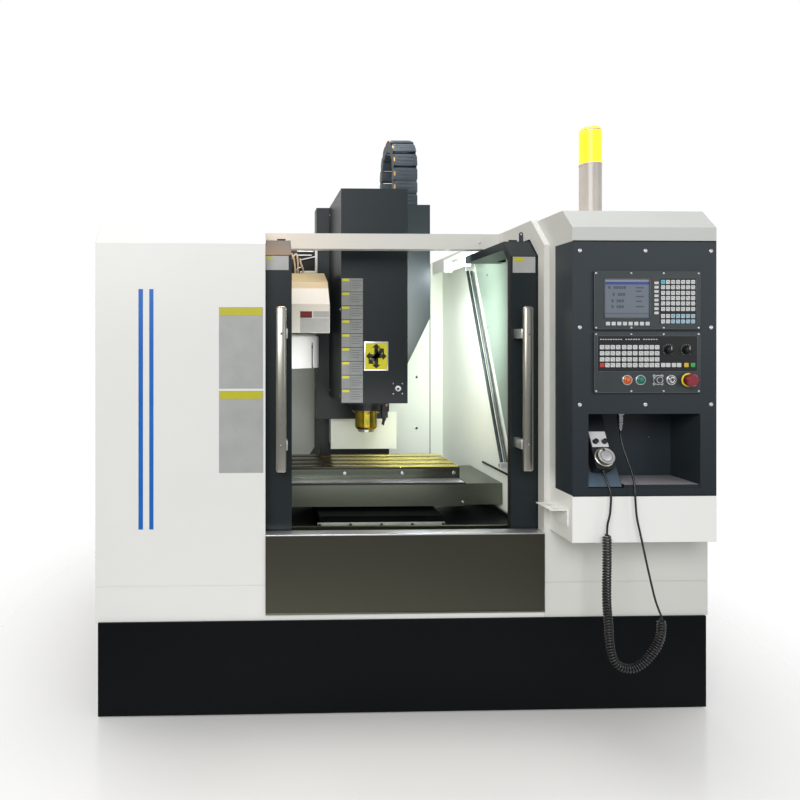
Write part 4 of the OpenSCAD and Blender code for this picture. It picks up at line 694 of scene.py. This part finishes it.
# ---- signal light and work lamp
BEACON, LAMP_X, LAMP_Z = (719, 150), 430, 1617


def beacon_trim(bm):
    turned(bm, (*BEACON, 1697), UP, [(38.4, 0), (46, 0), (46, 5), (43, 8), (39.2, 9), (38.4, 9)], 48, True)
    turned(bm, (*BEACON, 1906), UP, [(37.5, 0), (39.4, 0.6), (39.4, 7), (37.5, 7.6)], 48, True)
    turned(bm, (*BEACON, 2034), UP, [(0, 8), (30, 7.5), (36, 5), (38.2, 1), (38.2, -3), (36, -3.2), (0, -3.2)], 48)


shape("signal_light_trim", beacon_trim, lens_white)
shape("signal_light_ribs", lambda bm: [turned(bm, (*BEACON, 1921 + 9.2 * i), UP, [
    (37.2, 0), (38.8, 1.4), (38.8, 3.2), (37.2, 4.6)], 48, True) for i in range(12)], lens_amber)
shape("work_lamp_ends", lambda bm: [turned(bm, (LAMP_X, y, LAMP_Z), BACK, [
    (0, 0), (17.6, 0), (18.4, 1), (18.4, 15), (17.6, 16), (0, 16)], 32) for y in (657, 905)], white_coat)
lathe("work_lamp_tube", (LAMP_X, 673, LAMP_Z), [(16.5, 0), (17.3, 0), (17.3, 232), (16.5, 232)], 32, lamp_tube,
      axis=BACK, closed=True)

# ---- chamber
WALL_Y, WALL_X = 1350, 533.8
corners = [(x, WALL_Y, z) for x in (389.7, -389.7) for z in (1068, 788)]
screws("wall_screws", corners, casting, (6.2, 6.2, 9))
screws("wall_washers", corners, aluminium, (9, 9, 3))
# Right side wall: a sheet in front of the hoses, its cream darkened to grey green as painted shade, screwed along its
# middle
shape("side_wall_sheet", lambda bm: drawn(bm, [
    (WALL_X, y, z) for y, z in ((845, 1640), (440, 830), (440, 722), (110, 722), (110, 1640))], (1.4, 0, 0)), wall_coat_painted_shade,
    smooth=40)
screws("side_wall_screws", [(WALL_X, y, z) for y, z in ((674, 1560), (674, 1328), (430, 800))], steel, 5.5,
       facing="-x")
panels("side_wall_gasket", [((529, 535), (400, 735), (711, 719))], gasket, soft=1)
plates("wall_seams", [(462.5, 466.5, 560, 1690), (-466.5, -462.5, 560, 1690)], WALL_Y, casting, thick=0.6)
HOSE_ENDS = ((431, 757), (857, 1608))
for name, x, material in (("near_hose", 503, hose_dark), ("far_hose", 521, hose_light)):
    run = smooth_line([(x, y, z) for y, z in HOSE_ENDS], 40)
    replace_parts(shape(name, lambda bm: swept(bm, run, 13.5, 18), material, smooth=60), "conduits")
panels("hose_clamps", [((491, 535), (y - 12, y + 12), (z - 12, z + 12)) for y, z in HOSE_ENDS], aluminium, soft=2)
screws("hose_clamp_screws", [(491, y, z) for y, z in HOSE_ENDS], steel, 4, facing="-x")

# ---- head
LABEL_TOP, LABEL_STEP, HEAD_Y = 1532.5, 58.9, 546
labels = [(LABEL_TOP - LABEL_STEP * (i + 1) + 1.2, LABEL_TOP - LABEL_STEP * i - 1.2) for i in range(9)]
plates("head_plates", [(-140, -49.5, low, top) for low, top in labels], HEAD_Y, steel_film, "head")
plates("head_plate_heads", [(-138, -107, top - 12, top - 2) for _, top in labels], HEAD_Y - 0.5, yellow_film, "head")
plates("head_plate_rules", [(-104.4, -103.2, low + 3, top - 3) for low, top in labels]
       + [(-99, -55 - 9 * (k % 2), top - 12 - 10 * k, top - 9.6 - 10 * k) for _, top in labels for k in range(4)],
       HEAD_Y - 0.5, key_dark, "head", 0.15)
panels("arrow_plate_frame", [((-45, 59), (543, 546.1), (1139, 1263))], aluminium, "head", 1.4)
plates("arrow_plate", [(-39.5, 53.5, 1144.5, 1257.5)], 543, yellow_film, "head")


def arrow(bm, reach, angle):
    """A two-headed arrow through the plate's middle, 17 mm wide, with heads 36 mm wide."""
    c, s = round_about(1, angle)
    neck = reach - 17
    half = [(0, -8.5), (neck, -8.5), (neck, -18), (reach, 0), (neck, 18), (neck, 8.5), (0, 8.5)]
    for sign in (1, -1):
        drawn(bm, [(7 + sign * (a * c - b * s), 542.5, 1201 + sign * (a * s + b * c)) for a, b in half], (0, -0.3, 0))


shape("plate_arrows", lambda bm: [arrow(bm, r, a) for r, a in ((44, 0), (53, 90), (46, 45))], black_film, "head", 40)
PLUG_X, PLUG_Z = 99.8, 1062.8
lathe("head_plug", (PLUG_X, HEAD_Y, PLUG_Z), [(0, 5), (5.5, 5), (6, 9), (10, 9.4), (12.5, 7), (13, 0), (0, 0)], 28,
      aluminium, "head")
screws("head_plug_core", [(PLUG_X, HEAD_Y - 4.8, PLUG_Z)], black_abs, (5.6, 5.6, 2), "head")
screws("head_plug_screws", [(PLUG_X + a, HEAD_Y, PLUG_Z + b) for a in (-19.5, 19.5) for b in (-21.5, 21.5)],
       steel, 3.6, "head")
screws("head_side_screws", [(-142, y, z) for y in (575, 925) for z in (1030, 1400, 1870)], steel, 4.5, "head", "-x")
ring = [(*round_about(59, a, 0, SPINDLE_Y), 945.2) for a in range(30, 390, 60)]
placed("spindle_bolts", hexagon_head, ring, chrome, "head", (6.5, 6.5, 5), "-z")
ribs = [(r, 10 + 9 * i + dz) for i in range(8) for r, dz in ((50, 0.5), (50, 5.5), (47.6, 6.2), (47.6, 8.6))]
for item in (
        lathe("turned_cartridge", (0, SPINDLE_Y, 866), [(38, 0.4), (43.4, 0.4), (44, 1), (49.6, 9.8)] + ribs
              + [(50, 83), (50, 88), (38, 88)], 64, amber_steel, "head", UP, True),
        lathe("cartridge_flange", (0, SPINDLE_Y, 953), [
            (49, 0), (68.6, 0), (70, 1.4), (70, 22.6), (68.6, 24), (49, 24)], 64, head_enamel_with_painted_shade, "head", UP, True)):
    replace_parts(item, "spindle_cartridge")
shape("coolant_nozzles", lambda bm: [turned(bm, (85, y, 917), (-0.25, lean, -1), [
    (0, 0), (6.5, 0), (6.5, 10), (4, 14), (3, 34), (1.6, 36), (0, 36)], 20) for y, lean in ((735, -0.1), (757, 0.1))],
    black_abs, "head", 40)
lathe("coolant_knob", (88, 731, 976), [(0, 12), (6, 12), (7.5, 10.5), (7.5, 2), (0, 2)], 20, red_mushroom, "head")

# ---- table and saddle
screws("table_screws", [(x, 583, 697) for x in (-370, -121.4, 127.5, 351.4)], steel, 8.5, "table")
screws("cover_screws", [(363, 499, 591), (-363, 499, 591)], steel, 6, "table")
panels("cover_top_strip", [((-371.5, 371.5), (500, 582.5), (671.8, 672.7))], aluminium, "table", 0.3)
panels("table_front_seal", [((-376.5, 376.5), (582, 583.4), (713, 721))], gasket, "table", 0.3)
# Oil stands on the lands between the slots, dark brown towards the left as a painted shadow
panels("table_oil", [((-375, 375), land, (721.8, 722.5)) for land in ((584, 645), (661, 740), (756, 835), (851, 911))],
       oil_film_with_painted_shadow, "table", 0.25)
panels("cover_wiper", [((-372, 372), (497.2, 499.6), (664, 673))], gasket, "table", 0.8)
panels("cover_wiper_ends", [(x, (499, 620), (660, 672)) for x in ((372, 376), (-376, -372))], gasket, "table", 0.8)
SADDLE_Y = 400
panels("saddle_strip", [((-258, 258), (SADDLE_Y, SADDLE_Y + 5.5), (518, 535))], strip_steel, "saddle", 0.8)
screws("saddle_strip_screws", [(x, SADDLE_Y, 526.5) for x in (-250, -125, 0, 125, 250)], black_abs, 6.5, "saddle")

# ---- tool drum
# Rack of air lines that stands on the drum's cover, with a lifting eye in front of it
panels("air_rack_back", [((-346, -221), (760, 764), (1570, 1690))], casting, soft=1)
panels("air_rack_frame", [((-232, -221), (744, 760), (1570, 1690)), ((-300, -221), (744, 758), (1572, 1584))],
       white_coat, soft=1.5)
eye = [round_about(14, a, -303, 1584) for a in range(-90, 271, 18)]
for name, diameter, material, routes in (
        ("air_rack_rods", 5, aluminium, [
            [(-315, 748, 1673), (-240, 748, 1672)], [(-315, 748, 1655), (-248, 748, 1655)],
            [(-298, 746, 1634), (-226, 746, 1650)]]),
        ("air_lines", 8, air_line, [
            [(-344, 748, 1688), (-343, 746, 1668), (-330, 744, 1642), (-324, 744, 1606), (-322, 745, 1571)],
            [(-338, 750, 1640), (-318, 746, 1660), (-311, 744, 1630), (-309, 745, 1571)],
            [(-300, 750, 1640), (-297, 744, 1618), (-288, 744, 1594), (-284, 745, 1571)]]),
        ("lifting_eye", 4.5, chrome, [[(x, 737, z) for x, z in eye]])):
    shape(name, lambda bm: [swept(bm, smooth_line(route, 5), diameter, 12) for route in routes], material, smooth=60)
COVER_Y = 525
plates("magazine_display_frame", [(-318, -268, 1363, 1390)], COVER_Y, black_film)
plates("magazine_display", [(-314, -272, 1369, 1385)], COVER_Y - 0.5, display_red)
plates("magazine_plate", [(-318, -196, 1301, 1361), (-262, -196, 1364, 1390)], COVER_Y, grey_film)
DRUM_X, DRUM_Y = -425, 747
fingers = [(*round_about(173, a, DRUM_X, DRUM_Y), 1240, (0, 0, a)) for a in range(0, 360, 36)]
gripper_spring = unit("gripper_spring", lambda bm: [turned(bm, (0, y, 0), (1, 0, 0), [
    (0, -12), (4.5, -12), (5, -10), (5, 10), (4.5, 12), (0, 12)], 16) for y in (-21, 21)])
placed("gripper_springs", gripper_spring, fingers, steel, "tool_carousel")
lathe("drum_hub_cap", (DRUM_X, DRUM_Y, 1296), [(26, -6), (44, -6), (44, 0), (40, 1.5), (26, 1.5)], 48, steel,
      "tool_carousel", UP, True)

# ---- cable chain
PITCH, NEAR, BEND, FAR = 64, 13, 7, 10
CHAIN_X, WIDTH, HEIGHT, CHAIN_R, BEND_Z, NEAR_Y = 183, 115, 60, 148, 2121, 1009
# Middle of each link along the near strand, the bend and the far strand, with its turn about X in degrees
link_places = [(CHAIN_X, NEAR_Y, BEND_Z - (NEAR - i - 0.5) * PITCH, (0, 0, 0)) for i in range(NEAR)]
for a in (180 * (i + 0.5) / BEND for i in range(BEND)):
    back, rise = round_about(CHAIN_R, a)
    link_places.append((CHAIN_X, NEAR_Y + CHAIN_R - back, BEND_Z + rise, (-a, 0, 0)))
link_places += [(CHAIN_X, NEAR_Y + 2 * CHAIN_R, BEND_Z - (i + 0.5) * PITCH, (180, 0, 0)) for i in range(FAR)]


def chain_link(bm):
    """Side plates with round ends that lap over the next link, an outer lid with ribs and an inner bar."""
    r, half = HEIGHT / 2, PITCH / 2
    for x0, x1, reach in ((0, 4, half + 13), (4.2, 8, half - 2), (WIDTH - 4, WIDTH, half + 13),
                          (WIDTH - 8, WIDTH - 4.2, half - 2)):
        ends = [round_about(17, a, 0, reach - 17) for a in range(0, 181, 20)]
        low, neck = -half + (6 if reach > half else 1), reach - 24
        drawn(bm, [(x0, y, z) for y, z in [(r - 2, low), (r - 2, neck), *ends, (2 - r, neck), (2 - r, low)]],
              (x1 - x0, 0, 0))
    block(bm, (3, WIDTH - 3), (-r + 1.2, -r + 4), (-half + 1, half - 1), 1.2)
    for low in (-22, -4, 14):
        block(bm, (16, WIDTH - 16), (-r, -r + 2.2), (low, low + 9), 0.8, 1)
    block(bm, (3, WIDTH - 3), (r - 4, r), (-24, 24), 1.4)


for name, build, material in (
        ("chain_links", chain_link, chain_plastic),
        ("chain_clips", lambda bm: block(bm, (-0.8, 5.2), (-HEIGHT / 2, -HEIGHT / 2 + 7), (-8, 12), 0.8, 1),
         clip_plastic)):
    links = placed(name, unit(name, build, 35), link_places, material, None)
    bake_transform(links)
    if name == "chain_links":
        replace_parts(links, "cable_chain")

# ---- cabinet at the back
screws("cabinet_hinge_screws", [(-507, 1592.2, z) for z in (620, 1420)], steel, 3, "cabinet_door", "+y")
shape("cabinet_lock", lambda bm: (
    turned(bm, (455, 1600, 1040), BACK, [(0, 0.8), (9, 0.8), (10.5, 0.6), (12, 0), (0, 0)], 32),
    block(bm, (447, 463), (1599.4, 1600.8), (950, 1030), 0.5)), black_abs, "cabinet_door")


# ---- studio
def soft_light(name, place, aim, size, watts, shade="#ffffff"):
    data = bpy.data.lights.new(name, "AREA")
    data.shape, data.size, data.size_y = "RECTANGLE", size[0], size[1]
    data.energy, data.color = watts, colour(shade)[:3]
    item = linked(name, data)
    item.location = place
    item.rotation_euler = (Vector(aim) - Vector(place)).to_track_quat("-Z", "Y").to_euler()


soft_light("key", (-2.1, -6.3, 3.9), (0, 0, 0.8), (4.6, 3), 305)
soft_light("fill", (3.6, -4.4, 2.2), (0, 0, 0.9), (2.4, 2.4), 24)
soft_light("over the roof", (0, 0.05, 3.3), (0, 0.05, 0), (0.9, 1.3), 30)
soft_light("doorway fill", at(0, 100, 800), at(0, 900, 780), (0.7, 0.4), 2)
soft_light("warm glow", at(-430, 60, 1840), at(-430, 95, 1600), (0.14, 0.06), 0.66, "#ffb648")
soft_light("work lamp light", at(395, 790, 1590), at(-400, 900, 600), (0.26, 0.03), 2.5, "#f2f6ff")
soft_light("chamber glow", at(262, 500, 1420), at(535, 1250, 1430), (0.15, 0.5), 5.4, "#f8fff6")
soft_light("drum fill", at(-230, 380, 1130), at(-350, 560, 1220), (0.12, 0.12), 0.35)

# A white wall all round, bright behind the machine and dimmer behind the viewer, warmer far to the left
world = bpy.data.worlds.new("studio")
world.use_nodes = True
sky = world.node_tree
heading = add(sky, "SeparateXYZ", {"Vector": add(sky, "TexCoord").outputs["Generated"]}).outputs
tint = add(sky, "ValToRGB", {"Fac": span_of(sky, heading["X"], -1, -0.45)})
tint.color_ramp.elements[0].color = colour("#e2d4b4")
wire(sky, sky.nodes["Background"], {
    "Color": tint.outputs["Color"],
    "Strength": span_of(sky, heading["Y"], -0.5, 0.55, 0.3, 1.02, interpolation_type="SMOOTHSTEP")})
bpy.context.scene.world = world
bpy.context.scene.view_settings.view_transform = "Standard"

# The floor is a polished white sheet that fades away a few metres off
FLOOR = 14
floor_paint = finish("polished studio floor", ("#f0f0ef", "#f4f4f3"), 0.16, 900, 20, 0, rough_swing=0.01)
tree = floor_paint.node_tree
flat = add(tree, "Mapping", {"Vector": add(tree, "TexCoord").outputs["Object"], "Location": (0, -0.05, 0),
                             "Scale": (0.46, 0.36, 0)})
away = add(tree, "VectorMath", {0: flat.outputs["Vector"]}, operation="LENGTH").outputs["Value"]
fade = span_of(tree, away, 0.42, 0.95, 1, 0, interpolation_type="SMOOTHSTEP")
wire(tree, tree.nodes["Principled BSDF"], {"Alpha": fade})
floor_mesh = bpy.data.meshes.new("floor")
corners = [(-FLOOR, -FLOOR, 0), (FLOOR, -FLOOR, 0), (FLOOR, FLOOR, 0), (-FLOOR, FLOOR, 0)]
floor_mesh.from_pydata(corners, [], [(0, 1, 2, 3)])
floor_mesh.materials.append(floor_paint)
floor = linked("floor", floor_mesh)
